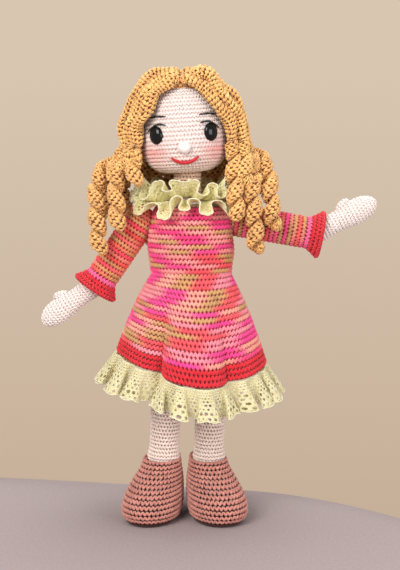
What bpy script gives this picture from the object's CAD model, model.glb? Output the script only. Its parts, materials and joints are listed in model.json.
"""The looks of a crocheted doll: every stitch, strand, thread and frill, built round its fixed frame.

Lengths are in metres. A piece is first made in the doll's own frame, whose spine stands at X = 0 with the
face towards -Y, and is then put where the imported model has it. "Left" and "right" are the viewer's.
"""

import json
import logging
import math
from collections.abc import Callable, Iterator, Sequence
from contextlib import contextmanager
from dataclasses import dataclass, field
from enum import Enum

import bpy
import numpy as np
from mathutils import Matrix, Vector

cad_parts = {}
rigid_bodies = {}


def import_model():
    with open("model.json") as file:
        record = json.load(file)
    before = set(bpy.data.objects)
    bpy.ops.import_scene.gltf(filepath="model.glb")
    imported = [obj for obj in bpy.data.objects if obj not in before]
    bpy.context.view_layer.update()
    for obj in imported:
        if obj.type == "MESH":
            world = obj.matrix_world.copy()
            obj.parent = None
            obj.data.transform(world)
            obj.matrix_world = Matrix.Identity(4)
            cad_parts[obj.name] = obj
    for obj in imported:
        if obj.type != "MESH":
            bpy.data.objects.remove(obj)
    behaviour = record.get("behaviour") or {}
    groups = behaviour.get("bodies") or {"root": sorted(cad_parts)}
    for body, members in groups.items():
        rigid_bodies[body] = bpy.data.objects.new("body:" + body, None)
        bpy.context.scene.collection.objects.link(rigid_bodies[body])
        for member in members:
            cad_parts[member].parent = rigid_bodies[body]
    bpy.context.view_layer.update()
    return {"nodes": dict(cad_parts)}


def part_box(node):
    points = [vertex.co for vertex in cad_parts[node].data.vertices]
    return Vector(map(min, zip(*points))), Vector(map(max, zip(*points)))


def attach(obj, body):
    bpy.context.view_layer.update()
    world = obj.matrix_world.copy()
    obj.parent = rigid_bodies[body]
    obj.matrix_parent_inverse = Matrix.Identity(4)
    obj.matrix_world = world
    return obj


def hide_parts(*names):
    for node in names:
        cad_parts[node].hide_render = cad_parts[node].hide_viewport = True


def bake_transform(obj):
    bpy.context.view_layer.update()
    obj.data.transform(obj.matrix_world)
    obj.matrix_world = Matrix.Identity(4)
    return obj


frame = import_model()
SEED = 20
FULL = math.tau
SEAM = 0.000002
MIDDLE = (0.0, 0.0, 0.0)

Array = np.ndarray
Pair = tuple[float, float]
Triple = tuple[float, float, float]
Thing = bpy.types.Object
Material = bpy.types.Material
Socket = bpy.types.NodeSocket
Shape = Callable[[Array, Array], Array]
log = logging.getLogger("doll")


class Side(Enum):
    """The viewer's left and right, with the sign of X there."""

    LEFT = -1.0
    RIGHT = 1.0

    @property
    def word(self) -> str:
        """The side's name, as the frame's nodes have it."""
        return self.name.lower()

    def pick(self, pair: Sequence) -> object:
        """This side's one of two values, of which the left one comes first."""
        return pair[0] if self is Side.LEFT else pair[1]


# Small tools


def linear(red: float, green: float, blue: float) -> Triple:
    """Turns an sRGB colour with channels from 0 to 255 into a linear one with channels from 0 to 1."""
    shares = [channel / 255.0 for channel in (red, green, blue)]
    return tuple(s / 12.92 if s <= 0.04045 else ((s + 0.055) / 1.055) ** 2.4 for s in shares)


def between(low: float, high: float, share: float) -> float:
    """The value at a share of the way from low to high."""
    return low + (high - low) * share


def bell(off: Array, spread: float) -> Array:
    """A smooth bump of height 1 that falls off with distance."""
    return np.exp(-((off / spread) ** 2))


def ease(values: Array, low: float, high: float) -> Array:
    """A smooth step from 0 at low to 1 at high."""
    share = np.clip((values - low) / (high - low), 0.0, 1.0)
    return share * share * (3.0 - 2.0 * share)


def way_along(points: Array) -> Array:
    """How far along a line of points each point lies."""
    return np.concatenate([[0.0], np.cumsum(np.linalg.norm(np.diff(points, axis=0), axis=1))])


def smooth_path(points: Sequence, count: int) -> Array:
    """Draws a smooth line through points.

    Args:
        points: The points, each a row of numbers.
        count: How many points the smooth line gets.

    Returns:
        The line's points, evenly spaced.
    """
    given = np.asarray(points, float)
    ends = np.vstack([2 * given[0] - given[1], given, 2 * given[-1] - given[-2]])
    share = np.linspace(0.0, 1.0, 12, endpoint=False)[:, None]
    fine = []
    for n in range(len(given) - 1):
        before, here, there, after = ends[n : n + 4]
        bend = 2 * before - 5 * here + 4 * there - after
        twist = -before + 3 * here - 3 * there + after
        fine.append(0.5 * (2 * here + (there - before) * share + bend * share**2 + twist * share**3))
    return even_path(np.vstack([*fine, given[-1:]]), count)


def even_path(points: Sequence, count: int) -> Array:
    """Spaces points evenly along the straight stretches between the given ones.

    Args:
        points: The points, each a row of numbers.
        count: How many points come back.

    Returns:
        The new points.
    """
    given = np.asarray(points, float)
    way = way_along(given)
    wanted = np.linspace(0.0, way[-1], count)
    return np.stack([np.interp(wanted, way, given[:, axis]) for axis in range(given.shape[1])], axis=1)


def moved(points: Array, matrix: Matrix) -> Array:
    """Points of any grid, moved by a matrix."""
    turn = np.array(matrix.to_3x3())
    return points @ turn.T + np.array(matrix.translation)


def deselect() -> None:
    """Leaves nothing selected, so that an operator acts on the new piece alone."""
    bpy.ops.object.select_all(action="DESELECT")


def select_only(piece: Thing) -> None:
    """Makes a piece the only selected and the active one."""
    deselect()
    piece.select_set(True)
    bpy.context.view_layer.objects.active = piece


def name_piece(name: str) -> Thing:
    """Names the piece that an operator has just added."""
    piece = bpy.context.object
    piece.name = name
    piece.data.name = name
    return piece


def settle(piece: Thing, matrix: Matrix) -> None:
    """Puts a piece's place into its mesh, so that its object stays at the origin."""
    piece.data.transform(matrix @ piece.matrix_world)
    piece.matrix_world = Matrix.Identity(4)


@contextmanager
def whole_mesh() -> Iterator[None]:
    """Puts the active piece in edit mode with its whole mesh selected, and back afterwards."""
    bpy.ops.object.mode_set(mode="EDIT")
    bpy.ops.mesh.select_all(action="SELECT")
    yield
    bpy.ops.object.mode_set(mode="OBJECT")


def close_seams(piece: Thing) -> None:
    """Joins the points that lie on each other, where the parts of a piece's mesh meet."""
    select_only(piece)
    with whole_mesh():
        bpy.ops.mesh.remove_doubles(threshold=SEAM)


def add_object(name: str, data: bpy.types.ID) -> Thing:
    """Makes an object of a mesh, a light or a camera, and puts it in the scene."""
    thing = bpy.data.objects.new(name, data)
    bpy.context.scene.collection.objects.link(thing)
    return thing


def declare(pieces: Sequence[Thing], body: str, slot: str) -> None:
    """Says what pieces ride on, which finish they have and, where they are stuffed, how tightly."""
    for piece in pieces:
        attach(piece, body)


# Measures that several pieces share


@dataclass(frozen=True)
class Body:
    """The doll's frame: its torso's outline and where its joints lie."""

    torso_x: float = 0.0010
    torso_bottom: float = 0.1495
    torso_top: float = 0.2770
    torso_half_width: float = 0.0352
    torso_half_depth: float = 0.0268
    torso_rows: tuple = (
        (0.347, 0.455, 1.000),
        (0.483, 0.560, 0.986),
        (0.739, 0.765, 0.945),
        (0.923, 0.925, 0.886),
        (0.994, 0.993, 0.804),
        (1.000, 1.000, 0.740),
        (0.952, 0.970, 0.620),
        (0.898, 0.925, 0.498),
        (0.920, 0.933, 0.340),
        (0.943, 0.940, 0.150),
        (0.909, 0.910, 0.051),
        (0.810, 0.802, 0.012),
        (0.625, 0.616, 0.000),
    )
    neckline_row: int = 2
    waist_row: int = 7
    neck_x: float = -0.0020
    head_turn_z: float = 0.2860
    head_tilt: float = math.radians(3.8)
    shoulder_x: float = 0.0430
    shoulder_z: float = 0.2570
    shoulder_low: float = math.radians(26.0)
    shoulder_high: float = math.radians(100.0)
    elbow_reach: float = 0.0650
    upper_degrees: Pair = (34.0, 80.0)
    fore_degrees: Pair = (54.0, 118.0)
    arm_room: float = 0.045
    room_step: float = 0.0004

    def base(self) -> Matrix:
        """Where the doll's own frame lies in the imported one, read from the neck's box."""
        low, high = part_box("neck")
        middle = (low + high) / 2
        return Matrix.Translation((middle.x - self.neck_x, middle.y, 0.0))

    def head(self) -> Matrix:
        """The head's frame, which leans with it."""
        turn = Matrix.Rotation(-self.head_tilt, 4, "Y")
        return self.base() @ Matrix.Translation((self.neck_x, 0.0, self.head_turn_z)) @ turn

    def arm(self, side: Side) -> Matrix:
        """An upper arm's frame, which starts at the shoulder and runs down the arm along -Z."""
        turn = Matrix.Rotation(-side.value * math.radians(side.pick(self.upper_degrees)), 4, "Y")
        return self.base() @ Matrix.Translation((side.value * self.shoulder_x, 0.0, self.shoulder_z)) @ turn

    def forearm(self, side: Side) -> Matrix:
        """A forearm's frame, which starts at the elbow."""
        bend = math.radians(side.pick(self.fore_degrees)) - math.radians(side.pick(self.upper_degrees))
        reach = Matrix.Translation((0.0, 0.0, -self.elbow_reach))
        return self.arm(side) @ reach @ Matrix.Rotation(-side.value * bend, 4, "Y")

    def row_height(self, row: int) -> float:
        """The height of one row of the torso's outline."""
        return between(self.torso_bottom, self.torso_top, self.torso_rows[row][2])

    def torso_surface(self, rows: Array, grow: float, columns: int = 96) -> Array:
        """Rings round the torso.

        Args:
            rows: Half width share, half depth share and height share of each ring, from the top.
            grow: How far outside the torso the rings lie.
            columns: How many points each ring has.

        Returns:
            The grid of points.
        """
        angle = ring_angles(columns)
        wide = (rows[:, :1] * self.torso_half_width + grow) * np.cos(angle)
        deep = (rows[:, 1:2] * self.torso_half_depth + grow) * np.sin(angle)
        high = between(self.torso_bottom, self.torso_top, rows[:, 2:3]) + 0.0 * angle
        return np.stack([self.torso_x + wide, deep, high], axis=2)

    def shoulder_room(self, points: Array, radius: float) -> Array:
        """Draws a body piece's points in towards the spine until they leave the arms' rooms.

        Args:
            points: The piece's points.
            radius: How thick the arms' rooms are, from the arm's axis.

        Returns:
            The points, with none inside a room.
        """
        points = points.copy()
        for side in Side:
            start = np.array([side.value * self.shoulder_x, 0.0, self.shoulder_z])
            for share in (0.0, 0.25, 0.5, 0.75, 1.0):
                angle = between(self.shoulder_low, self.shoulder_high, share)
                way = np.array([side.value * math.sin(angle), 0.0, -math.cos(angle)])
                for _ in range(60):
                    off = points - start
                    along = np.clip(off @ way, 0.0, self.arm_room)[..., None]
                    inside = np.linalg.norm(off - along * way, axis=-1) < radius
                    if not inside.any():
                        break
                    points[inside, 0] -= side.value * self.room_step
        return points

    def off_shoulders(self, points: Array, radius: float) -> Array:
        """Pushes a loose piece's points out of the balls of the shoulders, straight away from them."""
        points = points.copy()
        for side in Side:
            start = np.array([side.value * self.shoulder_x, 0.0, self.shoulder_z])
            off = points - start
            far = np.linalg.norm(off, axis=-1, keepdims=True)
            points = np.where(far < radius, start + off * radius / np.maximum(far, 1e-6), points)
        return points


BODY = Body()


# Finishes


class Board:
    """A new material with its nodes, added and linked in short steps."""

    def __init__(self, name: str) -> None:
        """Starts a material of this name."""
        self.material = bpy.data.materials.new(name)
        self.material.use_nodes = True
        self.tree = self.material.node_tree
        self.shader = self.tree.nodes["Principled BSDF"]

    def add(self, kind: str, **settings: object) -> bpy.types.Node:
        """Adds a node.

        Args:
            kind: The node's type.
            settings: Values of its attributes, or of its inputs where it has no such attribute.

        Returns:
            The node.
        """
        node = self.tree.nodes.new(kind)
        for key, value in settings.items():
            if hasattr(node, key):
                setattr(node, key, value)
            else:
                node.inputs[key.replace("_", " ")].default_value = value
        return node

    def link(self, source: Socket, target: Socket) -> None:
        """Joins two sockets."""
        self.tree.links.new(source, target)

    def place(self) -> Socket:
        """The object's own coordinates."""
        return self.add("ShaderNodeTexCoord").outputs["Object"]

    def noise(self, scale: float, detail: float = 3.0) -> Socket:
        """A noise pattern of this many waves a metre, from 0 to 1."""
        node = self.add("ShaderNodeTexNoise", Scale=scale, Detail=detail)
        self.link(self.place(), node.inputs["Vector"])
        return node.outputs["Fac"]

    def ranged(self, value: Socket, low: float, high: float) -> Socket:
        """Spreads a pattern's middle half over a range of values."""
        node = self.add("ShaderNodeMapRange")
        for key, number in (("From Min", 0.25), ("From Max", 0.75), ("To Min", low), ("To Max", high)):
            node.inputs[key].default_value = number
        self.link(value, node.inputs["Value"])
        return node.outputs["Result"]

    def maths(self, kind: str, first: object, second: object = 0.0) -> Socket:
        """One step of arithmetic on sockets or numbers."""
        node = self.add("ShaderNodeMath", operation=kind)
        for socket, value in zip(node.inputs, (first, second)):
            if isinstance(value, Socket):
                self.link(value, socket)
            else:
                socket.default_value = value
        return node.outputs["Value"]

    def tinted(self, colour: object, strength: Socket) -> Socket:
        """A colour made lighter or darker by a pattern."""
        node = self.add("ShaderNodeVectorMath", operation="SCALE")
        if isinstance(colour, Socket):
            self.link(colour, node.inputs[0])
        else:
            node.inputs[0].default_value = colour
        self.link(strength, node.inputs["Scale"])
        return node.outputs["Vector"]

    def colour(self, colour: object, pattern: Socket, low: float, high: float) -> None:
        """Gives the surface a colour that a pattern makes darker and lighter."""
        self.link(self.tinted(colour, self.ranged(pattern, low, high)), self.shader.inputs["Base Color"])

    def polish(self, pattern: Socket, low: float, high: float) -> None:
        """Makes the surface smoother and rougher by a pattern."""
        self.link(self.ranged(pattern, low, high), self.shader.inputs["Roughness"])

    def axes(self, vector: Socket) -> Sequence[Socket]:
        """The three numbers of a place."""
        split = self.add("ShaderNodeSeparateXYZ")
        self.link(vector, split.inputs["Vector"])
        return split.outputs

    def bump(self, height: Socket, strength: float, depth: float) -> None:
        """Raises the surface by a pattern."""
        node = self.add("ShaderNodeBump", Strength=strength, Distance=depth)
        self.link(height, node.inputs["Height"])
        self.link(node.outputs["Normal"], self.shader.inputs["Normal"])

    def fixed(self, **values: float) -> None:
        """Sets numbers that are the same all over on the shader's own sockets."""
        for key, value in values.items():
            self.shader.inputs[key.replace("_", " ")].default_value = value


@dataclass(frozen=True)
class YarnFinish:
    """Spun yarn: its plies wind along every leg of a stitch, with a soft nap of fibres."""

    name: str
    sheen: float = 0.35
    roughness: Pair = (0.72, 0.92)
    plies: int = 3
    twist: float = 1.6
    mottle: Pair = (0.93, 1.07)

    def build(self) -> Material:
        """Makes the material, which reads each stitch's colour from the mesh."""
        board = Board(self.name)
        dye = board.add("ShaderNodeAttribute", attribute_name="yarn")
        board.colour(dye.outputs["Color"], board.noise(700.0), *self.mottle)
        board.polish(board.noise(450.0), *self.roughness)
        around, along, _ = board.axes(
            board.add("ShaderNodeAttribute", attribute_name="ply").outputs["Vector"]
        )
        plies = board.maths("MULTIPLY", around, float(self.plies))
        turn = board.maths("ADD", plies, board.maths("MULTIPLY", along, self.twist))
        wave = board.maths("ABSOLUTE", board.maths("SINE", board.maths("MULTIPLY", turn, math.pi)))
        fuzz = board.maths("MULTIPLY", board.noise(5200.0, 4.0), 0.45)
        board.bump(board.maths("ADD", wave, fuzz), 0.55, 0.00028)
        board.fixed(Sheen_Weight=self.sheen, Sheen_Roughness=0.45, Specular_IOR_Level=0.32)
        return board.material


@dataclass(frozen=True)
class ThreadFinish:
    """Shiny sewing thread or floss of one colour, with fine strands along it."""

    name: str
    colour: Triple
    roughness: Pair = (0.35, 0.55)
    stripe: Triple = (0.0, 0.0, 1.0)
    strands: float = 2200.0
    sheen: float = 0.15

    def build(self) -> Material:
        """Makes the material."""
        board = Board(self.name)
        board.colour(self.colour, board.noise(900.0), 0.88, 1.08)
        board.polish(board.noise(1300.0), *self.roughness)
        lay = board.add("ShaderNodeVectorMath", operation="DOT_PRODUCT")
        board.link(board.place(), lay.inputs[0])
        lay.inputs[1].default_value = self.stripe
        wave = board.maths("SINE", board.maths("MULTIPLY", lay.outputs["Value"], self.strands))
        board.bump(board.maths("ADD", wave, board.maths("MULTIPLY", board.noise(4200.0), 0.8)), 0.35, 0.00018)
        board.fixed(Sheen_Weight=self.sheen, Specular_IOR_Level=0.5)
        return board.material


@dataclass(frozen=True)
class LaceFinish:
    """Gathered cotton lace: fine crossed threads, a little uneven in colour."""

    name: str
    colour: Triple
    shade: Triple
    threads: float = 5200.0

    def build(self) -> Material:
        """Makes the material."""
        board = Board(self.name)
        mix = board.add("ShaderNodeMix", data_type="RGBA")
        mix.inputs[6].default_value = (*self.colour, 1.0)
        mix.inputs[7].default_value = (*self.shade, 1.0)
        board.link(board.ranged(board.noise(160.0), 0.0, 1.0), mix.inputs[0])
        board.colour(mix.outputs[2], board.noise(2400.0), 0.93, 1.05)
        board.polish(board.noise(1500.0), 0.65, 0.85)
        x, y, z = board.axes(board.place())
        level = board.maths("SINE", board.maths("MULTIPLY", z, self.threads))
        across = board.maths("SINE", board.maths("MULTIPLY", board.maths("ADD", x, y), self.threads))
        board.bump(board.maths("ADD", level, across), 0.35, 0.00015)
        board.fixed(Sheen_Weight=0.2, Specular_IOR_Level=0.35, Subsurface_Weight=0.4, Subsurface_Scale=0.003)
        board.shader.inputs["Subsurface Radius"].default_value = (1.0, 0.95, 0.7)
        return board.material


@dataclass(frozen=True)
class HardFinish:
    """A plain hard material of the inner pieces or the eyes: black or white plastic, wood, steel or card."""

    name: str
    colour: Triple
    roughness: Pair
    metallic: float = 0.0
    gloss: float = 0.5
    grain: Triple = (300.0, 300.0, 300.0)
    tint: Pair = (0.85, 1.1)
    depth: float = 0.0001

    def build(self) -> Material:
        """Makes the material."""
        board = Board(self.name)
        lay = board.add("ShaderNodeMapping")
        lay.inputs["Scale"].default_value = self.grain
        board.link(board.place(), lay.inputs["Vector"])
        pattern = board.add("ShaderNodeTexNoise", Scale=1.0, Detail=4.0)
        board.link(lay.outputs["Vector"], pattern.inputs["Vector"])
        board.colour(self.colour, pattern.outputs["Fac"], *self.tint)
        board.polish(pattern.outputs["Fac"], *self.roughness)
        board.bump(pattern.outputs["Fac"], 0.2, self.depth)
        board.fixed(Metallic=self.metallic, Specular_IOR_Level=self.gloss)
        return board.material


# Dyes: what colour each stitch is


@dataclass(frozen=True)
class Round:
    """One round of stitches: its number, how many rounds there are, where its stitches are, and the dice."""

    row: int
    rows: int
    places: Array
    dice: np.random.Generator


@dataclass(frozen=True)
class PlainDye:
    """Yarn of one colour, a little uneven from stitch to stitch."""

    colour: Triple
    spread: float = 0.05

    def uneven(self, colours: Array, worked: Round) -> Array:
        """Makes each stitch of a round a little lighter or darker by chance."""
        return colours * (1.0 + self.spread * worked.dice.normal(size=(len(worked.places), 1)))

    def tint(self, worked: Round) -> Array:
        """A linear colour for each stitch of a round."""
        return self.uneven(np.array(self.colour), worked)


@dataclass(frozen=True)
class CheekDye(PlainDye):
    """The face's yarn, with blush rubbed on both cheeks, round by round, and a warmer tint low down."""

    blush: Triple = linear(244, 142, 134)
    warm: Triple = linear(246, 212, 196)
    blush_height: float = 0.0300
    blush_spread: float = 0.0078
    inner: float = 0.0070
    outer: float = 0.0250

    def tint(self, worked: Round) -> Array:
        """Colours the stitches of one round, as PlainDye does, and adds the blush."""
        plain, places = super().tint(worked), worked.places
        front = ease(-places[:, 1], 0.004, 0.020)
        side = ease(np.abs(places[:, 0]), self.inner, self.outer)
        level = bell(places[:, 2] - self.blush_height, self.blush_spread)
        share = (side * front * level * (0.46 + 0.20 * (worked.row % 2)))[:, None]
        low = (0.55 * (1.0 - ease(places[:, 2], 0.012, 0.040)))[:, None]
        plain = plain * (1.0 - low) + np.array(self.warm) * low
        return plain * (1.0 - share) + np.array(self.blush) * share


@dataclass(frozen=True)
class GrooveDye(PlainDye):
    """Hair yarn, darker where two strands meet on the head."""

    middle: float = 0.0
    crest: float = 0.0
    depth: float = 0.0042
    dark: float = 0.56

    def tint(self, worked: Round) -> Array:
        """Colours one round's stitches, as PlainDye does, and darkens those that lie low between strands."""
        plain, places = super().tint(worked), worked.places
        off = np.linalg.norm(places - np.array([0.0, 0.0, self.middle]), axis=1)
        on_head = ease(places[:, 2], self.middle - 0.006, self.middle + 0.012)
        low = (1.0 - ease(off, self.crest - self.depth, self.crest + 0.0008)) * on_head
        return plain * (1.0 - (1.0 - self.dark) * low[:, None])


@dataclass(frozen=True)
class PoolingDye(PlainDye):
    """Yarn dyed in lengths, whose colours pool side by side as the rounds wind on, and a plain end band."""

    lengths: tuple = ()
    turns: float = 1.0
    start: float = 0.0
    slide: float = 0.0
    wander: float = 0.02
    leap: float = 0.14
    leap_chance: float = 0.28
    band: Triple = linear(222, 36, 50)
    band_rows: int = 0

    def tint(self, worked: Round) -> Array:
        """Colours the stitches of one round by where the dyed lengths come to lie."""
        if worked.row >= worked.rows - self.band_rows:
            return self.uneven(np.array(self.band), worked)
        counts = np.array([length for length, _ in self.lengths], float)
        shades = np.array([linear(*colour) for _, colour in self.lengths])
        edges = np.concatenate([[0.0], np.cumsum(counts)])
        count, dice = len(worked.places), worked.dice
        around = np.arange(count) / count + self.start + self.slide * worked.row
        around = around + dice.normal(0.0, self.wander) + self.leap * (dice.random() < self.leap_chance)
        way = (around * self.turns * edges[-1]) % edges[-1]
        middles = (edges[1:] + edges[:-1]) / 2
        middles = np.concatenate([[middles[-1] - edges[-1]], middles, [middles[0] + edges[-1]]])
        shades = np.vstack([shades[-1:], shades, shades[:1]])
        held = np.interp(way, middles, np.arange(len(middles)))
        share = ease(held - np.floor(held), 0.25, 0.75)[:, None]
        low = np.floor(held).astype(int)
        high = np.minimum(low + 1, len(shades) - 1)
        return self.uneven(shades[low] * (1.0 - share) + shades[high] * share, worked)


# Stitches


@dataclass
class Stitch:
    """One stitch: two legs of yarn in a V, modelled once and copied over a surface."""

    sides: int = 6
    rings: int = 4
    half_length: float = 0.62
    half_width: float = 0.31
    half_thickness: float = 0.36
    slant: float = math.radians(30.0)
    spread: float = 0.245
    tip_up: float = 0.10
    points: Array = field(init=False, repr=False)
    plies: Array = field(init=False, repr=False)
    quads: Array = field(init=False, repr=False)
    tris: Array = field(init=False, repr=False)

    def __post_init__(self) -> None:
        """Models the stitch and keeps its points and faces."""
        deselect()
        bpy.ops.mesh.primitive_uv_sphere_add(segments=self.sides, ring_count=self.rings, radius=1.0)
        leg = name_piece("stitch_model")
        plies = np.array([[math.atan2(v.co.x, v.co.y) / FULL, v.co.z, 0.0] for v in leg.data.vertices])
        size = (self.half_width, self.half_thickness, self.half_length)
        with whole_mesh():
            bpy.ops.transform.resize(value=size, center_override=MIDDLE)
            bpy.ops.transform.rotate(value=-self.slant, orient_axis="Y", center_override=MIDDLE)
            bpy.ops.transform.translate(value=(self.spread, 0.0, 0.0))
            bpy.ops.mesh.duplicate()
            bpy.ops.transform.resize(value=(-1.0, 1.0, 1.0), center_override=MIDDLE)
            bpy.ops.mesh.select_all(action="SELECT")
            bpy.ops.mesh.normals_make_consistent(inside=False)
        self.points = np.array([(v.co.x, v.co.z, -v.co.y) for v in leg.data.vertices])
        self.points[:, 2] += self.tip_up * self.points[:, 1]
        self.plies = np.vstack([plies, plies])
        faces = [tuple(face.vertices) for face in leg.data.polygons]
        self.quads = np.array([f for f in faces if len(f) == 4]).reshape(-1, 4)
        self.tris = np.array([f for f in faces if len(f) == 3]).reshape(-1, 3)
        mesh = leg.data
        bpy.data.objects.remove(leg)
        bpy.data.meshes.remove(mesh)


@dataclass(frozen=True)
class Gauge:
    """How a fabric is worked: the height and width of a stitch, and how it lies on its surface."""

    row: float
    column: float
    lift: float = -0.0006
    plump: float = 1.0
    drift: float = 0.04
    jitter: float = 0.035
    hollow: float = 0.74
    slim: float = 1.0


class Surface:
    """A fabric's outer side as a grid of points: rows from the top, closed columns counter-clockwise."""

    def __init__(self, points: Array) -> None:
        """Takes the grid and works out which way each point faces."""
        self.points = points
        down = np.gradient(points, axis=0)
        across = np.roll(points, -1, axis=1) - np.roll(points, 1, axis=1)
        normals = np.cross(down, across)
        length = np.linalg.norm(normals, axis=2, keepdims=True)
        normals /= np.maximum(length, 1e-12)
        for row, beside in ((0, 1), (-1, -2)):
            if np.ptp(points[row], axis=0).max() < 1e-6:
                mean = normals[beside].mean(axis=0)
                normals[row] = mean / np.linalg.norm(mean)
        self.normals = normals

    def sample(self, grid: Array, along: Array, down: Array) -> Array:
        """Reads a grid between its points.

        Args:
            grid: The points or the normals.
            along: Places round the surface, in columns.
            down: Places down the surface, in rows, also a little past its ends.

        Returns:
            The values there.
        """
        rows, columns = grid.shape[:2]
        row = np.clip(np.floor(down).astype(int), 0, rows - 2)
        off_row = (down - row)[..., None]
        start = np.floor(along).astype(int)
        off = (along - start)[..., None]
        here, there = start % columns, (start + 1) % columns
        upper = grid[row, here] * (1 - off) + grid[row, there] * off
        lower = grid[row + 1, here] * (1 - off) + grid[row + 1, there] * off
        return upper * (1 - off_row) + lower * off_row

    def levels(self, pitch: float) -> Array:
        """The rows where rounds of stitches meet, evenly spaced down the surface."""
        steps = np.linalg.norm(np.diff(self.points, axis=0), axis=2).mean(axis=1)
        way = np.concatenate([[0.0], np.cumsum(steps)])
        count = max(1, round(way[-1] / pitch))
        return np.interp(np.linspace(0.0, way[-1], count + 1), way, np.arange(len(way)))

    def inset(self, depth: float) -> Array:
        """The same grid, moved inwards."""
        return self.points - self.normals * depth


class Piece:
    """A mesh in the making, with the yarn's colour and its way along the yarn at each point."""

    def __init__(self) -> None:
        """Starts an empty mesh."""
        self.points: list[Array] = []
        self.colours: list[Array] = []
        self.plies: list[Array] = []
        self.quads: list[Array] = []
        self.tris: list[Array] = []
        self.count = 0

    def add(self, points: Array, colours: Array, plies: Array, quads: Array, tris: Array) -> None:
        """Adds points and the faces between them.

        Args:
            points: The new points.
            colours: A linear colour for each, or one for all.
            plies: The way round and along the yarn at each, or one for all.
            quads: Faces of four, counted from the first new point.
            tris: Faces of three.
        """
        many = len(points)
        self.points.append(points)
        self.colours.append(np.broadcast_to(colours, (many, 3)))
        self.plies.append(np.broadcast_to(plies, (many, 3)))
        self.quads.append(np.asarray(quads, int).reshape(-1, 4) + self.count)
        self.tris.append(np.asarray(tris, int).reshape(-1, 3) + self.count)
        self.count += many

    def add_grid(self, grid: Array, colour: Array, ends: bool = True, inwards: bool = False) -> None:
        """Adds a surface of closed columns, as a plain lining under the stitches.

        Args:
            grid: The points, with rows from the top.
            colour: Its colour, one for all or one for each point.
            ends: Whether its first and last rows are closed.
            inwards: Whether it faces inwards, as a lining does.
        """
        rows, columns = grid.shape[:2]
        here = (np.arange(rows - 1)[:, None] * columns + np.arange(columns)).ravel()
        beside = (np.arange(rows - 1)[:, None] * columns + (np.arange(columns) + 1) % columns).ravel()
        quads = np.stack([here, here + columns, beside + columns, beside], axis=1)
        points = grid.reshape(-1, 3)
        around = np.arange(columns)
        tris = np.zeros((0, 3), int)
        if ends:
            points = np.vstack([points, grid[0].mean(axis=0), grid[-1].mean(axis=0)])
            last = (rows - 1) * columns
            first_fan = np.stack([np.full(columns, rows * columns), around, (around + 1) % columns], axis=1)
            far = last + (around + 1) % columns
            last_fan = np.stack([np.full(columns, rows * columns + 1), far, last + around], axis=1)
            tris = np.vstack([first_fan, last_fan])
        if inwards:
            quads, tris = quads[:, ::-1], tris[:, ::-1]
        self.add(points, colour, np.zeros(3), quads, tris)

    def add_rim(self, outer: Array, inner: Array, colour: Array, low: bool) -> None:
        """Joins the edges of an outer and an inner wall, at the top or at the bottom."""
        columns = len(outer)
        here = np.arange(columns)
        beside = (here + 1) % columns
        quads = np.stack([here, here + columns, beside + columns, beside], axis=1)
        self.add(np.vstack([outer, inner]), colour, np.zeros(3), quads if low else quads[:, ::-1], [])

    def stitch(
        self,
        surface: Surface,
        stitch: Stitch,
        gauge: Gauge,
        dye: PlainDye,
        wanted: Callable[[Array], Array] | None = None,
        shade: float = 1.0,
    ) -> int:
        """Works a surface in rounds of stitches.

        Args:
            surface: What is worked.
            stitch: The stitch to copy.
            gauge: Its size and lie.
            dye: Its colours.
            wanted: Says for each stitch's place whether it is worked, where some would never show.
            shade: How light the whole piece is.

        Returns:
            How many stitches were worked.
        """
        dice = np.random.default_rng(SEED + len(surface.points))
        levels = surface.levels(gauge.row)
        rows = len(levels) - 1
        columns = surface.points.shape[1]
        made = 0
        for row in range(rows):
            middle = (levels[row] + levels[row + 1]) / 2
            ring = surface.sample(surface.points, np.arange(columns + 1.0), np.full(columns + 1, middle))
            way = way_along(ring)
            count = max(4, round(way[-1] / gauge.column))
            start = (np.arange(count) + 0.5 * (row % 2) + gauge.drift * row) / count
            along = np.interp(start % 1.0, way / way[-1], np.arange(columns + 1.0))
            places = surface.sample(surface.points, along, np.full(count, middle))
            tints = dye.tint(Round(row, rows, places, dice))
            if wanted is not None:
                keep = wanted(places)
                start, tints = start[keep], tints[keep]
            if not len(start):
                continue
            width = way[-1] / count
            wide, aside, high, thick = dice.normal(0.0, gauge.jitter, (4, len(start), 1))
            across = gauge.slim * stitch.points[:, 0] * (1.0 + wide) + aside
            upwards = gauge.slim * stitch.points[:, 1] * (1.0 + high)
            outwards = stitch.points[:, 2] * gauge.plump * (1.0 + thick)
            spots = np.interp(
                (start[:, None] + across / count) % 1.0, way / way[-1], np.arange(columns + 1.0)
            )
            down = middle - upwards * (levels[row + 1] - levels[row])
            points = surface.sample(surface.points, spots, down)
            facing = surface.sample(surface.normals, spots, down)
            facing /= np.maximum(np.linalg.norm(facing, axis=2, keepdims=True), 1e-9)
            points = points + facing * (gauge.lift + outwards * width)[..., None]
            low = ease(stitch.points[:, 2], -0.30, 0.16)
            deep = gauge.hollow + (1.0 - gauge.hollow) * low
            colours = tints[:, None, :] * deep[None, :, None] * shade
            many, size = len(start), len(stitch.points)
            base = (np.arange(many) * size)[:, None, None]
            self.add(
                points.reshape(-1, 3),
                np.clip(colours, 0.0, 0.95).reshape(-1, 3),
                np.tile(stitch.plies, (many, 1)),
                stitch.quads[None] + base,
                stitch.tris[None] + base,
            )
            made += many
        return made

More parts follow.
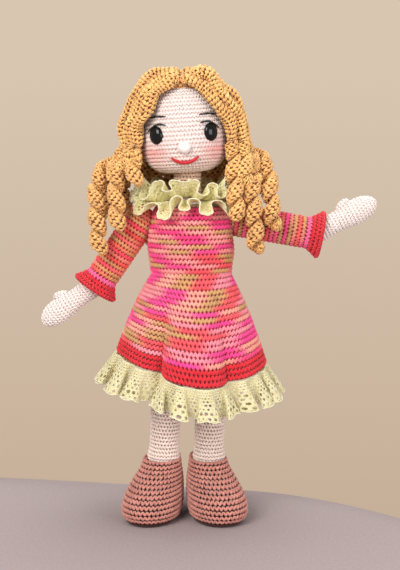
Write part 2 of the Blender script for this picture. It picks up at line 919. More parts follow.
    def build(self, name: str, material: Material, matrix: Matrix | None = None) -> Thing:
        """Makes the mesh and its object.

        Args:
            name: The piece's name.
            material: Its finish.
            matrix: Where the frame that it was made in lies.

        Returns:
            The object, which sits at the origin.
        """
        points = moved(np.vstack(self.points), matrix or BODY.base())
        quads, tris = np.vstack(self.quads), np.vstack(self.tris)
        mesh = bpy.data.meshes.new(name)
        mesh.vertices.add(len(points))
        mesh.vertices.foreach_set("co", points.astype(np.float32).ravel())
        mesh.loops.add(quads.size + tris.size)
        mesh.loops.foreach_set("vertex_index", np.concatenate([quads.ravel(), tris.ravel()]).astype(np.int32))
        mesh.polygons.add(len(quads) + len(tris))
        starts = np.concatenate([np.arange(len(quads)) * 4, quads.size + np.arange(len(tris)) * 3])
        mesh.polygons.foreach_set("loop_start", starts.astype(np.int32))
        mesh.update(calc_edges=True)
        mesh.validate()
        colours = np.ones((len(points), 4), np.float32)
        colours[:, :3] = np.vstack(self.colours)
        mesh.attributes.new("yarn", "FLOAT_COLOR", "POINT").data.foreach_set("color", colours.ravel())
        plies = np.vstack(self.plies).astype(np.float32)
        mesh.attributes.new("ply", "FLOAT_VECTOR", "POINT").data.foreach_set("vector", plies.ravel())
        mesh.shade_smooth()
        mesh.materials.append(material)
        return add_object(name, mesh)


def ring_angles(count: int) -> Array:
    """Angles evenly spaced round a ring."""
    return np.arange(count) * FULL / count


def ring_points(one: Array, two: Array, sides: int) -> Array:
    """Rings of points round a line, from two directions square to it at each of its points."""
    angle = ring_angles(sides)
    return one[:, None] * np.cos(angle)[None, :, None] + two[:, None] * np.sin(angle)[None, :, None]


def carried(run: Array, start: Triple) -> Array:
    """Carries a direction square to a line along it without twisting it.

    Args:
        run: The line's direction at each point.
        start: Any direction off the line's first one.

    Returns:
        The carried direction at each point.
    """
    side = np.cross(run[0], start)
    sideways = []
    for step in run:
        side = side - step * (side @ step)
        side = side / np.linalg.norm(side)
        sideways.append(side)
    return np.array(sideways)


def revolve(profile: Array, columns: int = 72) -> Array:
    """Turns an outline round Z.

    Args:
        profile: Radius and height of each row, from the top.
        columns: How many points each ring has.

    Returns:
        The grid of points.
    """
    angle = ring_angles(columns)
    wide, deep = profile[:, :1] * np.cos(angle), profile[:, :1] * np.sin(angle)
    return np.stack([wide, deep, profile[:, 1:2] + 0.0 * angle], axis=2)


def tube_grid(path: Array, radii: Array, sides: int) -> Array:
    """Rings round a line, for a thread or cord.

    Args:
        path: The line's points.
        radii: The radius at each, or at each point of each ring.
        sides: How many points each ring has.

    Returns:
        The grid of points.
    """
    run = np.gradient(path, axis=0)
    run /= np.maximum(np.linalg.norm(run, axis=1, keepdims=True), 1e-9)
    side = carried(run, (0.31, 0.42, 0.85))
    return path[:, None] + ring_points(side, np.cross(side, run), sides) * radii.reshape(len(path), -1, 1)


@dataclass(frozen=True)
class Cloth:
    """A tube of crocheted cloth: its wall as one piece, with the stitches on it."""

    node: str
    rests_on: str
    gauge: Gauge
    dye: PlainDye
    core: Array
    material: Material
    slot: str = "dress_yarn"
    held: str = "stretched"
    body: str = "torso"
    seam: float = 0.0013
    glow: float = 1.4

    def build(self, inner: Array, outer: Array, stitch: Stitch, matrix: Matrix) -> None:
        """Makes the cloth.

        Args:
            inner: The wall's inner side.
            outer: Its outer side, which the stitches stand on.
            stitch: The stitch.
            matrix: Where the cloth's frame lies.
        """
        surface = Surface(outer)
        face = surface.inset(self.seam)
        cores = np.broadcast_to(self.core, face.shape)
        wall = Piece()
        wall.add_grid(face, cores.reshape(-1, 3), ends=False)
        wall.add_grid(inner, self.glow * cores.reshape(-1, 3), ends=False, inwards=True)
        wall.add_rim(face[0], inner[0], cores[0, 0], low=False)
        wall.add_rim(face[-1], inner[-1], cores[-1, 0], low=True)
        sheet = wall.build(f"{self.node}_wall", self.material, matrix)
        close_seams(sheet)
        yarn = Piece()
        made = yarn.stitch(surface, stitch, self.gauge, self.dye)
        stitches = yarn.build(f"{self.node}_yarn", self.material, matrix)
        log.info("%s: %d stitches", self.node, made)
        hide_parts(self.node)
        declare((sheet, stitches), self.body, self.slot)
        height = way_along(face[:, 0])[-1]


@dataclass
class Kit:
    """What every sub-assembly is made with: the stitches and the finished materials."""

    stitch: Stitch
    fine_stitch: Stitch
    skin: Material
    hair: Material
    dress: Material
    cuff: Material
    shoe: Material
    sole: Material
    lace: Material
    collar_lace: Material
    lace_cord: Material
    black_thread: Material
    red_floss: Material
    satin: Material
    eye: Material


SKIN_COLOUR = linear(248, 229, 218)
SKIN_DYE = PlainDye(SKIN_COLOUR, 0.025)
SKIN_CORE = np.array(linear(222, 178, 158))
HAND_CORE = np.array(linear(236, 214, 205))
SKIRT_LENGTHS = (
    (7, (250, 150, 158)),
    (11, (250, 74, 150)),
    (6, (250, 168, 150)),
    (7, (206, 158, 104)),
    (11, (244, 88, 96)),
    (8, (250, 146, 160)),
    (12, (250, 68, 146)),
    (7, (250, 162, 144)),
    (10, (248, 68, 126)),
    (8, (242, 96, 88)),
    (8, (204, 150, 98)),
    (5, (250, 148, 156)),
)
BODICE_LENGTHS = (
    (9, (252, 154, 150)),
    (7, (208, 158, 104)),
    (15, (252, 72, 140)),
    (8, (252, 148, 146)),
    (15, (248, 80, 92)),
    (7, (210, 156, 100)),
    (13, (252, 84, 126)),
    (8, (252, 152, 150)),
    (18, (250, 62, 132)),
)
SLEEVE_LENGTHS = (
    (
        (23, (254, 90, 80)), (7, (216, 150, 98)), (25, (254, 76, 92)),
        (8, (254, 134, 116)), (7, (214, 152, 98)),
    ),
    (
        (24, (248, 72, 136)), (15, (204, 150, 96)), (20, (246, 92, 128)),
        (14, (206, 152, 100)), (12, (236, 92, 84)),
    ),
)
CUFF_LENGTHS = ((6, (246, 84, 130)), (6, (246, 100, 150)))
DRESS_CORE = np.array(linear(158, 40, 58))
BAND_CORE = np.array(linear(130, 12, 26))


# Legs and shoes


@dataclass
class Leg:
    """One stuffed leg, worked in rounds, whose last round bulges over the shoe's rim."""

    side: Side
    hip_z: float = 0.1550
    hip_spread: float = 0.0185
    lean: float = math.radians(2.4)
    splay: float = math.radians(0.8)
    radius: float = 0.0140
    top: float = 0.1500
    foot: float = 0.0120
    rim: float = 0.0475
    hidden_above: float = 0.1400
    hidden_below: float = 0.0430
    lining: float = 0.0016
    gauge: Gauge = Gauge(0.0033, 0.0029, lift=-0.0006, slim=1.05)

    def angle(self) -> float:
        """How far this leg leans to the viewer's left."""
        return self.lean - self.side.value * self.splay

    def hip_x(self) -> float:
        """Where the leg starts from."""
        return BODY.torso_x + self.side.value * self.hip_spread

    def matrix(self) -> Matrix:
        """The leg's frame, which starts at the hip."""
        place = Matrix.Translation((self.hip_x(), 0.0, self.hip_z))
        return BODY.base() @ place @ Matrix.Rotation(self.angle(), 4, "Y")

    def outline(self) -> Array:
        """The leg's outline from the hip down, with radius and height."""
        rim = self.rim - self.hip_z
        rows = [
            (0.94 * self.radius, self.top - self.hip_z),
            (0.985 * self.radius, -0.014),
            (1.00 * self.radius, -0.026),
            (0.965 * self.radius, -0.054),
            (0.915 * self.radius, -0.086),
            (0.905 * self.radius, rim + 0.0105),
            (0.950 * self.radius, rim + 0.0060),
            (1.020 * self.radius, rim + 0.0020),
            (0.970 * self.radius, rim - 0.0012),
            (0.880 * self.radius, rim - 0.0050),
            (0.840 * self.radius, self.foot - self.hip_z),
        ]
        return smooth_path(rows, 60)

    def build(self, kit: Kit) -> None:
        """Makes the leg.

        Args:
            kit: The stitches and finishes.
        """
        surface = Surface(revolve(self.outline()))
        piece = Piece()
        piece.add_grid(surface.inset(self.lining), SKIN_CORE)
        low, high = self.hidden_below - self.hip_z, self.hidden_above - self.hip_z
        piece.stitch(
            surface, kit.stitch, self.gauge, SKIN_DYE,
            lambda places: (places[:, 2] > low) & (places[:, 2] < high),
        )
        leg = piece.build(f"leg_yarn_{self.side.word}", kit.skin, self.matrix())
        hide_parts(f"leg_{self.side.word}")
        declare([leg], "torso", "skin_yarn")


@dataclass
class Shoe:
    """One stuffed shoe on its flat sole: a broad round toe, and a collar that rises behind the leg."""

    side: Side
    leg: Leg
    top: float = 0.0470
    base: float = 0.0033
    length: float = 0.0830
    width: float = 0.0476
    toe_out: float = math.radians(17.0)
    rows: tuple = (
        (0.000, 0.923, 0.890, 0.218, 0.26),
        (0.108, 0.990, 0.975, 0.226, 0.26),
        (0.245, 1.000, 1.000, 0.218, 0.24),
        (0.416, 0.944, 0.975, 0.190, 0.20),
        (0.588, 0.805, 0.900, 0.128, 0.14),
        (0.748, 0.620, 0.805, 0.062, 0.08),
        (0.886, 0.480, 0.715, 0.019, 0.03),
        (1.000, 0.408, 0.680, 0.003, 0.00),
    )
    egg_scale: float = 0.02
    opening: float = 0.0128
    rise: float = 0.0036
    gauge: Gauge = Gauge(0.0042, 0.0038, lift=-0.0006, plump=1.0, hollow=0.34, slim=0.88)
    sole_gauge: Gauge = Gauge(0.0036, 0.0036, lift=-0.0012, plump=0.5)
    colour: Triple = linear(212, 142, 128)
    sole_colour: Triple = linear(196, 126, 114)
    core: Triple = linear(60, 24, 18)

    def matrix(self) -> Matrix:
        """The shoe's frame, which starts under the ankle with its toe turned out."""
        x = self.leg.hip_x() - (self.leg.hip_z - self.top / 2) * math.tan(self.leg.angle())
        turn = Matrix.Rotation(self.side.value * self.toe_out, 4, "Z")
        return BODY.base() @ Matrix.Translation((x, 0.0, 0.0)) @ turn

    def ring(self, half_length: float, half_width: float, forward: float, egg: float, height: float) -> Array:
        """One ring of the shoe: longer than wide, narrower at the heel, and pushed forward."""
        angle = ring_angles(96)
        side = half_width * np.cos(angle) * (1.0 - egg * np.sin(angle))
        return np.stack([side, half_length * np.sin(angle) - forward, height + 0.0 * angle], axis=1)

    def upper(self) -> Array:
        """The shoe's outer side from its opening down to the sole."""
        scale = np.array([self.top - self.base, self.length / 2, self.width / 2, self.length, self.egg_scale])
        table = np.array(self.rows[::-1]) * scale + (self.base, 0.0, 0.0, 0.0, 0.0)
        rings = [
            self.ring(long, wide, ahead, egg / self.egg_scale, high)
            for high, long, wide, ahead, egg in smooth_path(table, 44)
        ]
        hole = self.ring(self.opening, self.opening, 0.0, 0.0, self.top - 0.0030)
        lip = (hole + rings[0]) / 2
        lip[:, 2] = self.top + 0.0006
        grid = np.array([hole, lip, *rings])
        collar = ease(grid[..., 2], self.top - 0.012, self.top) * ease(grid[..., 1], -0.004, 0.012)
        grid[..., 2] += self.rise * collar
        return grid

    def underside(self) -> Array:
        """The sole, from its upper edge round to the middle of its flat underside."""
        _, long, wide, ahead, egg = self.rows[0]
        shares = (
            (1.0, 0.0030), (0.998, 0.0017), (0.985, 0.0006), (0.955, 0.0002), (0.8, 0.0), (0.5, 0.0),
            (0.2, 0.0),
        )
        rings = [
            self.ring(
                share * long * self.length / 2, share * wide * self.width / 2, ahead * self.length, egg, high
            )
            for share, high in shares
        ]
        rings.append(np.tile(np.array([0.0, -ahead * self.length, 0.0]), (96, 1)))
        return np.array(rings)

    def build(self, kit: Kit) -> None:
        """Makes the shoe and its sole.

        Args:
            kit: The stitches and finishes.
        """
        word = self.side.word
        surface = Surface(self.upper())
        piece = Piece()
        piece.add_grid(surface.inset(0.0019), self.core)
        piece.stitch(surface, kit.stitch, self.gauge, PlainDye(self.colour, 0.06))
        shoe = piece.build(f"shoe_yarn_{word}", kit.shoe, self.matrix())
        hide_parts(f"shoe_{word}")
        declare([shoe], "torso", "shoe_yarn")
        surface = Surface(self.underside())
        piece = Piece()
        top = surface.points[:1] * np.array([0.5, 0.5, 1.0])
        piece.add_grid(np.concatenate([top, surface.inset(0.0006)]), self.core)
        piece.stitch(surface, kit.fine_stitch, self.sole_gauge, PlainDye(self.sole_colour, 0.05))
        for points in piece.points:
            points[:, 2] = np.maximum(points[:, 2], 0.0)
        sole = piece.build(f"sole_yarn_{word}", kit.sole, self.matrix())
        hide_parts(f"sole_{word}")
        declare([sole], "torso", "sole_yarn")


# Torso, neck and dress


@dataclass
class Torso:
    """The stuffed torso, worked only where the dress doesn't hide it, and the neck."""

    hem_line: float = 0.1640
    neck_line: float = 0.2680
    neck_radius: float = 0.0115
    neck_in_head: float = 0.0155
    neck_dye: PlainDye = PlainDye(linear(238, 206, 184), 0.03)
    arm_room: float = 0.0145
    gauge: Gauge = Gauge(0.0034, 0.0031, lift=-0.0006)

    def build(self, kit: Kit) -> None:
        """Makes the torso and the neck.

        Args:
            kit: The stitches and finishes.
        """
        grid = BODY.torso_surface(smooth_path(BODY.torso_rows, 60), 0.0)
        grid[1:-1] = BODY.shoulder_room(grid[1:-1], self.arm_room)
        surface = Surface(grid)
        piece = Piece()
        piece.add_grid(surface.inset(0.0016), SKIN_CORE)
        piece.stitch(
            surface, kit.fine_stitch, self.gauge, SKIN_DYE,
            lambda places: (places[:, 2] < self.hem_line) | (places[:, 2] > self.neck_line),
        )
        torso = piece.build("torso_yarn", kit.skin)
        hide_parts("torso")
        declare([torso], "torso", "skin_yarn")
        outline = [
            (self.neck_radius + 0.0014, BODY.torso_top - 0.0020),
            (self.neck_radius + 0.0007, BODY.torso_top + 0.0020),
            (self.neck_radius, BODY.torso_top + 0.0080),
            (self.neck_radius, BODY.head_turn_z + self.neck_in_head),
        ]
        surface = Surface(revolve(smooth_path(outline[::-1], 20)))
        piece = Piece()
        piece.add_grid(surface.inset(0.0015), SKIN_CORE)
        piece.stitch(surface, kit.stitch, self.gauge, self.neck_dye)
        neck = piece.build("neck_yarn", kit.skin, BODY.base() @ Matrix.Translation((BODY.neck_x, 0.0, 0.0)))
        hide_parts("neck")
        declare([neck], "torso", "skin_yarn")


@dataclass
class Dress:
    """The crocheted dress: a fitted bodice, and a flared skirt with folds and a red hem band."""

    wall: float = 0.0028
    ease: float = 0.0005
    room: float = 0.0150
    thinnest: float = 0.0012
    hem_half_width: float = 0.0648
    hem_half_depth: float = 0.0592
    hem_z: float = 0.1420
    front_drop: float = 0.0200
    front_at: float = math.radians(8.0)
    front_spread: float = math.radians(38.0)
    side_tilt: float = 0.0050
    bulge: float = 0.0016
    waist_seam: float = 0.0008
    seam_cover: float = 0.0014
    first_band: float = 0.05
    fold_depth: float = 0.0115
    folds: tuple = (
        (-27.0, 1.20, 7.0),
        (33.0, 1.00, 8.0),
        (-92.0, 0.45, 13.0),
        (96.0, 0.45, 13.0),
        (-146.0, 0.75, 12.0),
        (150.0, 0.75, 12.0),
    )
    columns: int = 160
    band_from: float = 0.84
    gauge: Gauge = Gauge(0.0042, 0.0036, lift=-0.0007, plump=1.10, hollow=0.50, slim=1.02)

    def hem_height(self, angle: Array) -> Array:
        """The hem's height at angles from the front."""
        off = (angle - self.front_at + math.pi) % FULL - math.pi
        dip = self.front_drop * np.exp(-0.5 * (off / self.front_spread) ** 2)
        return self.hem_z - dip - self.side_tilt * np.sin(angle)

    def skirt_point(self, angle: Array, down: Array) -> Array:
        """Points on the skirt's inner side.

        Args:
            angle: Angles from the front, counter-clockwise from above.
            down: 0 at the waist and 1 at the hem.

        Returns:
            The points.
        """
        wide, deep, _ = BODY.torso_rows[BODY.waist_row]
        waist_z = BODY.row_height(BODY.waist_row) - self.waist_seam
        flare = (np.maximum(0.0, down - self.first_band) / (1.0 - self.first_band)) ** 0.92
        bulge = self.bulge * np.sin(math.pi * np.minimum(flare, 1.0))
        depth = 0.0 * angle
        for at, share, spread in self.folds:
            off = (np.degrees(angle) - at + 180.0) % 360.0 - 180.0
            depth = depth + share * bell(off, spread)
        in_by = self.fold_depth * depth * down**1.3
        half_width = (
            between(wide * BODY.torso_half_width + self.ease, self.hem_half_width, flare) + bulge - in_by
        )
        half_depth = (
            between(deep * BODY.torso_half_depth + self.ease, self.hem_half_depth, flare) + bulge - in_by
        )
        high = between(waist_z, self.hem_height(angle), down)
        return np.stack(
            [BODY.torso_x + half_width * np.sin(angle), -half_depth * np.cos(angle), high], axis=-1
        )

    def build(self, kit: Kit) -> None:
        """Makes the bodice and the skirt.

        Args:
            kit: The stitches and finishes.
        """
        rows = smooth_path(BODY.torso_rows[BODY.neckline_row : BODY.waist_row + 1], 36)
        inner = BODY.shoulder_room(BODY.torso_surface(rows, self.ease, self.columns), self.room)
        outer = BODY.shoulder_room(BODY.torso_surface(rows, self.ease + self.wall, self.columns), self.room)
        thin = np.linalg.norm((outer - inner)[..., :2], axis=2) < self.thinnest
        inner[..., 0] = np.where(thin, inner[..., 0] - self.thinnest * np.sign(inner[..., 0]), inner[..., 0])
        dye = PoolingDye(SKIN_COLOUR, 0.05, lengths=BODICE_LENGTHS, slide=0.045, wander=0.05)
        bodice = Cloth("dress_bodice", "torso", self.gauge, dye, DRESS_CORE, kit.dress)
        bodice.build(inner, outer, kit.stitch, BODY.base())
        angle = ring_angles(self.columns)
        down = np.linspace(0.0, 1.0, 60)[:, None]
        inner = self.skirt_point(angle[None, :] + 0.0 * down, down + 0.0 * angle)
        outer = inner + Surface(inner).normals * self.wall
        outer[..., 2] += self.seam_cover * (1.0 - down) ** 12
        dye = PoolingDye(
            SKIN_COLOUR, 0.05, lengths=SKIRT_LENGTHS, start=0.096, slide=0.022, wander=0.055, band_rows=3
        )
        core = np.where(down[..., None] > self.band_from, BAND_CORE, DRESS_CORE) + 0.0 * inner
        skirt = Cloth("dress_skirt", "dress_bodice", self.gauge, dye, core, kit.dress, held="hung")
        skirt.build(inner, outer, kit.stitch, BODY.base())


# Lace


@dataclass(frozen=True)
class Eyelets:
    """The pattern of a lace: staggered rows of cells across its width, with a hole of some size in each."""

    edges: tuple[float, ...]
    holes: tuple[tuple[float, ...], ...]
    columns: int
    scallop: float = 0.05
    thickness: float = 0.0005

    def scallops(self, share: Array) -> Array:
        """How far the free edge reaches at shares round the lace, in rounded scallops."""
        count = self.columns / len(self.holes[0])
        return 1.0 + self.scallop * np.abs(np.sin(math.pi * share * count))

    def open_share(self) -> float:
        """How much of the lace is holes."""
        spans = zip(self.edges, self.edges[1:], self.holes)
        return sum((high - low) * float(np.mean(np.array(row) ** 2)) * 0.71 for low, high, row in spans)

    def build(self, name: str, shape: Shape, material: Material, matrix: Matrix) -> Thing:
        """Makes the lace, with a ring of eight faces round each hole.

        Args:
            name: The piece's name.
            shape: Gives points for shares round the lace and across it.
            material: Its finish.
            matrix: Where its frame lies.

        Returns:
            The object.
        """
        columns, motif = self.columns, len(self.holes[0])
        number = np.arange(columns)
        across, half = number / columns, 0.5 / columns
        points: list[Array] = []
        count = 0

        def row_of(shares: Array, level: Array) -> Array:
            """Adds a row of points, stretched towards the scallops, and gives their numbers."""
            nonlocal count
            reach = level * (1.0 + (self.scallops(shares) - 1.0) * ease(level + 0.0 * shares, 0.5, 1.0))
            points.append(np.stack([shares, reach], axis=1))
            count += len(shares)
            return np.arange(count - len(shares), count)

        lines = [(row_of(across, level), row_of(across + half, level)) for level in self.edges]
        quads = []
        for row, (low, high) in enumerate(zip(self.edges, self.edges[1:])):
            shift = row % 2
            (corners, tops), (low_corners, low_tops) = lines[row], lines[row + 1]
            if shift:
                corners, tops = tops, np.roll(corners, -1)
                low_corners, low_tops = low_tops, np.roll(low_corners, -1)
            middle = (low + high) / 2
            sides = row_of(across + shift * half, middle)
            ring = [corners, tops, np.roll(corners, -1), np.roll(sides, -1),
                    np.roll(low_corners, -1), low_tops, low_corners, sides]
            hole = np.array(self.holes[row])[(number + row // 2) % motif]
            centre, tall = across + half * (1 + shift), (high - low) / 2
            inner = []
            for step in range(8):
                turn = FULL * (step - 1) / 8
                inner.append(
                    row_of(centre + half * hole * math.sin(turn), middle - tall * hole * math.cos(turn))
                )
            for step in range(8):
                after = (step + 1) % 8
                quads.append(np.stack([ring[step], inner[step], inner[after], ring[after]], axis=1))
        flat = np.vstack(points)
        mesh = bpy.data.meshes.new(name)
        places = moved(shape(flat[:, 0], flat[:, 1]), matrix)
        mesh.from_pydata(places.tolist(), [], np.vstack(quads).tolist())
        mesh.shade_smooth()
        mesh.materials.append(material)
        piece = add_object(name, mesh)
        select_only(piece)
        wall = piece.modifiers.new("wall", "SOLIDIFY")
        wall.thickness = self.thickness
        wall.offset = 0.0
        bpy.ops.object.modifier_apply(modifier="wall")
        return piece


@dataclass
class Frill:
    """A gathered lace frill: folds that grow from its seam to its free edge, and a cord along the edge.

    Each fold has its angle from the front, in degrees, and how far the free edge stands out of line there.
    """

    name: str
    width: float
    length: float
    pattern: Eyelets
    folds: tuple[Pair, ...]
    cord: float = 0.00055
    picot: float = 0.0008

    def lay(self, share: Array) -> tuple[Array, Array]:
        """How the folds run round the frill.

        Args:
            share: Shares round the frill.

        Returns:
            How many folds lie before each place, and how far the free edge stands out of line there.
        """
        at = np.array([angle for angle, _ in self.folds]) / 360.0
        size = np.array([high for _, high in self.folds])
        at, size = np.append(at, at[0] + 1.0), np.append(size, size[0])
        count = np.interp((share - at[0]) % 1.0 + at[0], at, np.arange(float(len(at))))
        low = np.minimum(np.floor(count).astype(int), len(at) - 2)
        part = ease(count - low, 0.0, 1.0)
        return count, size[low] * (1.0 - part) + size[low + 1] * part

    def edge_cord(self, word: str, shape: Shape, level: float, material: Material, matrix: Matrix) -> Thing:
        """Makes the cord along one edge, which stands out in small loops along the free edge.

        Args:
            word: What its name ends with.
            shape: Gives the frill's points.
            level: How far across the frill the cord lies, 1 at the free edge.
            material: Its finish.
            matrix: Where its frame lies.

        Returns:
            The object.
        """
        count, sides = self.pattern.columns * 4, 6
        share = np.arange(count) / count
        reach = level + 0.0 * share
        if level == 1.0:
            loops = np.abs(np.sin(math.pi * share * self.pattern.columns / 2))
            reach = self.pattern.scallops(share) + self.picot / self.width * loops
        path = shape(share, reach)
        run = np.roll(path, -1, axis=0) - np.roll(path, 1, axis=0)
        run /= np.linalg.norm(run, axis=1, keepdims=True)
        out = path - shape(share, reach - 0.04)
        out -= run * np.sum(out * run, axis=1, keepdims=True)
        out /= np.linalg.norm(out, axis=1, keepdims=True)
        rings = path[:, None] + self.cord * ring_points(out, np.cross(run, out), sides)
        first, turn = np.arange(count)[:, None] * sides, np.arange(sides)
        here, beside = (first + turn).ravel(), (first + np.roll(turn, -1)).ravel()
        quads = np.stack(
            [here, beside, (beside + sides) % (count * sides), (here + sides) % (count * sides)], axis=1
        )
        piece = Piece()
        piece.add(rings.reshape(-1, 3), np.ones(3), np.zeros(3), quads, [])
        made = piece.build(f"{self.name}_{word}", material, matrix)
        select_only(made)
        with whole_mesh():
            bpy.ops.mesh.normals_make_consistent(inside=False)
        return made

    def build(self, shape: Shape, lace: Material, cord: Material, rests_on: str) -> None:
        """Makes the frill with its cords.

        Args:
            shape: Gives the frill's points in the doll's frame.
            lace: The lace's finish.
            cord: The cords' finish.
            rests_on: What the frill is sewn to.
        """
        matrix = BODY.base()
        cloth = self.pattern.build(f"{self.name}_lace", shape, lace, matrix)
        edge = self.edge_cord("edge", shape, 1.0, cord, matrix)
        head = self.edge_cord("heading", shape, 0.03, cord, matrix)
        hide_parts(self.name)
        declare((cloth, edge, head), "torso", "lace_cotton")
        flat, area = (self.length, self.width), self.length * self.width * (1.0 - self.pattern.open_share())


@dataclass
class HemLace:
    """The lace trim under the skirt's hem."""

    dress: Dress
    seat: float = 0.0005
    drop: float = 0.0225
    flare: float = 0.0100
    wave: float = 0.0066
    slide: float = 0.0038
    waves: int = 22
    seed: int = 5

    def folds(self) -> tuple:
        """The folds round the hem, out and in by turns, and a little uneven."""
        dice = np.random.default_rng(self.seed)
        steps = np.cumsum(dice.uniform(0.55, 1.45, 2 * self.waves))
        size = self.wave * dice.uniform(0.55, 1.30, 2 * self.waves)
        return tuple(
            (360.0 * step / steps[-1], high * (-1) ** n) for n, (step, high) in enumerate(zip(steps, size))
        )

    def build(self, kit: Kit) -> None:
        """Makes the trim.

        Args:
            kit: The finishes.
        """
        pattern = Eyelets(
            edges=(0.0, 0.07, 0.15, 0.24, 0.34, 0.45, 0.57, 0.70, 0.85, 1.0),
            holes=(
                *((size,) * 8 for size in (0.20, 0.42, 0.44)),
                (0.46, 0.46, 0.30, 0.30, 0.46, 0.46, 0.46, 0.46),
                (0.30, 0.60, 0.66, 0.30, 0.46, 0.46, 0.46, 0.46),
                (0.25, 0.72, 0.74, 0.25, 0.30, 0.55, 0.55, 0.30),
                (0.55, 0.40, 0.40, 0.55, 0.30, 0.78, 0.78, 0.30),
                (0.62, 0.74, 0.74, 0.62, 0.36, 0.50, 0.50, 0.36),
                (0.30, 0.45, 0.45, 0.30, 0.60, 0.66, 0.66, 0.60),
            ),
            columns=288,
            scallop=0.09,
        )
        frill = Frill("skirt_lace", 0.0250, 0.790, pattern, self.folds())

        def shape(share: Array, across: Array) -> Array:
            """Points of the trim at shares round it and across it."""
            count, out_by = frill.lay(share)
            grown = np.maximum(across, 0.0) ** 0.8
            angle = FULL * share + self.slide * np.sin(FULL * count) * grown / 0.062
            place = self.dress.skirt_point(angle, np.ones_like(angle))
            out = np.stack([np.sin(angle), -np.cos(angle), 0.0 * angle], axis=-1)
            away = 0.0020 + self.flare * across + out_by * (0.12 + grown)
            low = self.seat + self.drop * across
            return place + out * away[..., None] - np.stack([0 * low, 0 * low, low], axis=-1)

        frill.build(shape, kit.lace, kit.lace_cord, "dress_skirt")


@dataclass
class Collar:
    """The collar's two gathered lace frills, which stand out round the neck and fall over the shoulders."""

    seam_rise_low: float = 0.0043
    seam_rise_high: float = 0.0095
    clear: float = 0.0158
    sag: float = 0.0036
    slide: float = 0.0019
    low_folds: tuple = (
        (-61, -0.0075), (-36, 0.0045), (-23, -0.0085), (-10, 0.0100), (-3, -0.0015), (6, 0.0080),
        (19, -0.0050), (31, 0.0065), (52, -0.0075), (66, 0.0050), (78, -0.0020), (90, 0.0045),
        (102, -0.0015), (116, 0.0060), (129, -0.0055), (142, 0.0060), (155, -0.0070), (168, 0.0055),
        (180, -0.0060), (193, 0.0060), (206, -0.0065), (219, 0.0055), (232, -0.0060), (245, 0.0060),
        (257, -0.0015), (269, 0.0045), (281, -0.0020), (291, 0.0050),
    )
    high_folds: tuple = (
        (-64, 0.0090), (-55, -0.0100), (-31, 0.0055), (-22, -0.0030), (-14, 0.0060), (-3, 0.0045),
        (7, 0.0065), (17, -0.0060), (28, 0.0035), (39, -0.0085), (52, 0.0095), (65, -0.0090),
        (79, 0.0065), (93, -0.0070), (107, 0.0055), (121, -0.0060), (135, 0.0055), (149, -0.0060),
        (163, 0.0055), (177, -0.0055), (191, 0.0060), (205, -0.0060), (219, 0.0055), (233, -0.0065),
        (247, 0.0060), (261, -0.0080), (272, 0.0070), (284, -0.0085),
    )

    def pattern(self, columns: int) -> Eyelets:
        """The collar's lace: a fine ground, two rows of eyelets near the edge, and a firm edge."""
        return Eyelets(
            edges=(0.0, 0.09, 0.18, 0.27, 0.36, 0.45, 0.54, 0.65, 0.78, 0.90, 1.0),
            holes=(
                (0.20,) * 4,
                *((0.46,) * 4 for _ in range(5)),
                (0.25, 0.58, 0.58, 0.25),
                (0.66, 0.30, 0.30, 0.66),
                (0.30, 0.60, 0.60, 0.30),
                (0.20, 0.28, 0.28, 0.20),
            ),
            columns=columns,
            scallop=0.035,
        )

    def frill_shape(
        self, frill: Frill, seam: tuple[float, float, float, float], edge: Pair, levels: Sequence, sag: float
    ) -> Shape:
        """Gives the shape of one frill.

        Args:
            frill: Its folds.
            seam: The seam's middle x, height, half width and half depth.
            edge: The free edge's half width and half depth.
            levels: Pairs of an angle from the front, in degrees, and the free edge's middle height there.
            sag: How far the frill hangs through between its seam and its edge.

        Returns:
            The function that gives its points.
        """
        seam_x, seam_z, seam_wide, seam_deep = seam
        at, heights = zip(*levels)

        def shape(share: Array, across: Array) -> Array:
            """Points of the frill at shares round it and across it."""
            count, up_by = frill.lay(share)
            held = np.maximum(across, 0.0)
            grown = held**1.1
            angle = FULL * share + self.slide * np.sin(FULL * count) * grown / 0.036
            off = np.abs((np.degrees(angle) + 180.0) % 360.0 - 180.0)
            wide = between(seam_wide, edge[0], across) - 0.14 * up_by * grown
            deep = between(seam_deep, edge[1], across) - 0.14 * up_by * grown
            high = seam_z + (np.interp(off, at, heights) - seam_z) * held**1.3 + up_by * grown
            high = high - sag * np.sin(math.pi * np.minimum(held, 1.0) ** 0.8)
            middle = between(seam_x, BODY.neck_x, np.clip(across, 0, 1))
            points = np.stack([middle + wide * np.sin(angle), -deep * np.cos(angle), high], axis=-1)
            return BODY.off_shoulders(points, self.clear)

        return shape

    def build(self, kit: Kit) -> None:
        """Makes both frills.

        Args:
            kit: The finishes.
        """
        seam_z = BODY.row_height(BODY.neckline_row)
        lower = Frill("collar_ruffle_lower", 0.0215, 0.500, self.pattern(240), self.low_folds)
        seam = (
            BODY.torso_x, seam_z + self.seam_rise_low,
            0.78 * BODY.torso_half_width, 0.80 * BODY.torso_half_depth,
        )
        levels = (
            (0, 0.2700), (45, 0.2695), (65, 0.2725), (90, 0.2785), (115, 0.2720), (140, 0.2690), (180, 0.2680)
        )
        shape = self.frill_shape(lower, seam, (0.0482, 0.0392), levels, 0.0)
        lower.build(shape, kit.collar_lace, kit.lace_cord, "dress_bodice")
        upper = Frill("collar_ruffle_upper", 0.0330, 0.440, self.pattern(220), self.high_folds)
        wide, deep = 0.355 * BODY.torso_half_width, 0.466 * BODY.torso_half_depth
        seam = (BODY.neck_x, seam_z + self.seam_rise_high, wide, deep)
        levels = ((0, 0.2865), (40, 0.2865), (60, 0.2862), (90, 0.2890), (130, 0.2870), (180, 0.2860))
        shape = self.frill_shape(upper, seam, (0.0440, 0.0362), levels, self.sag)
        upper.build(shape, kit.collar_lace, kit.lace_cord, "collar_ruffle_lower")


# Head, face and hair


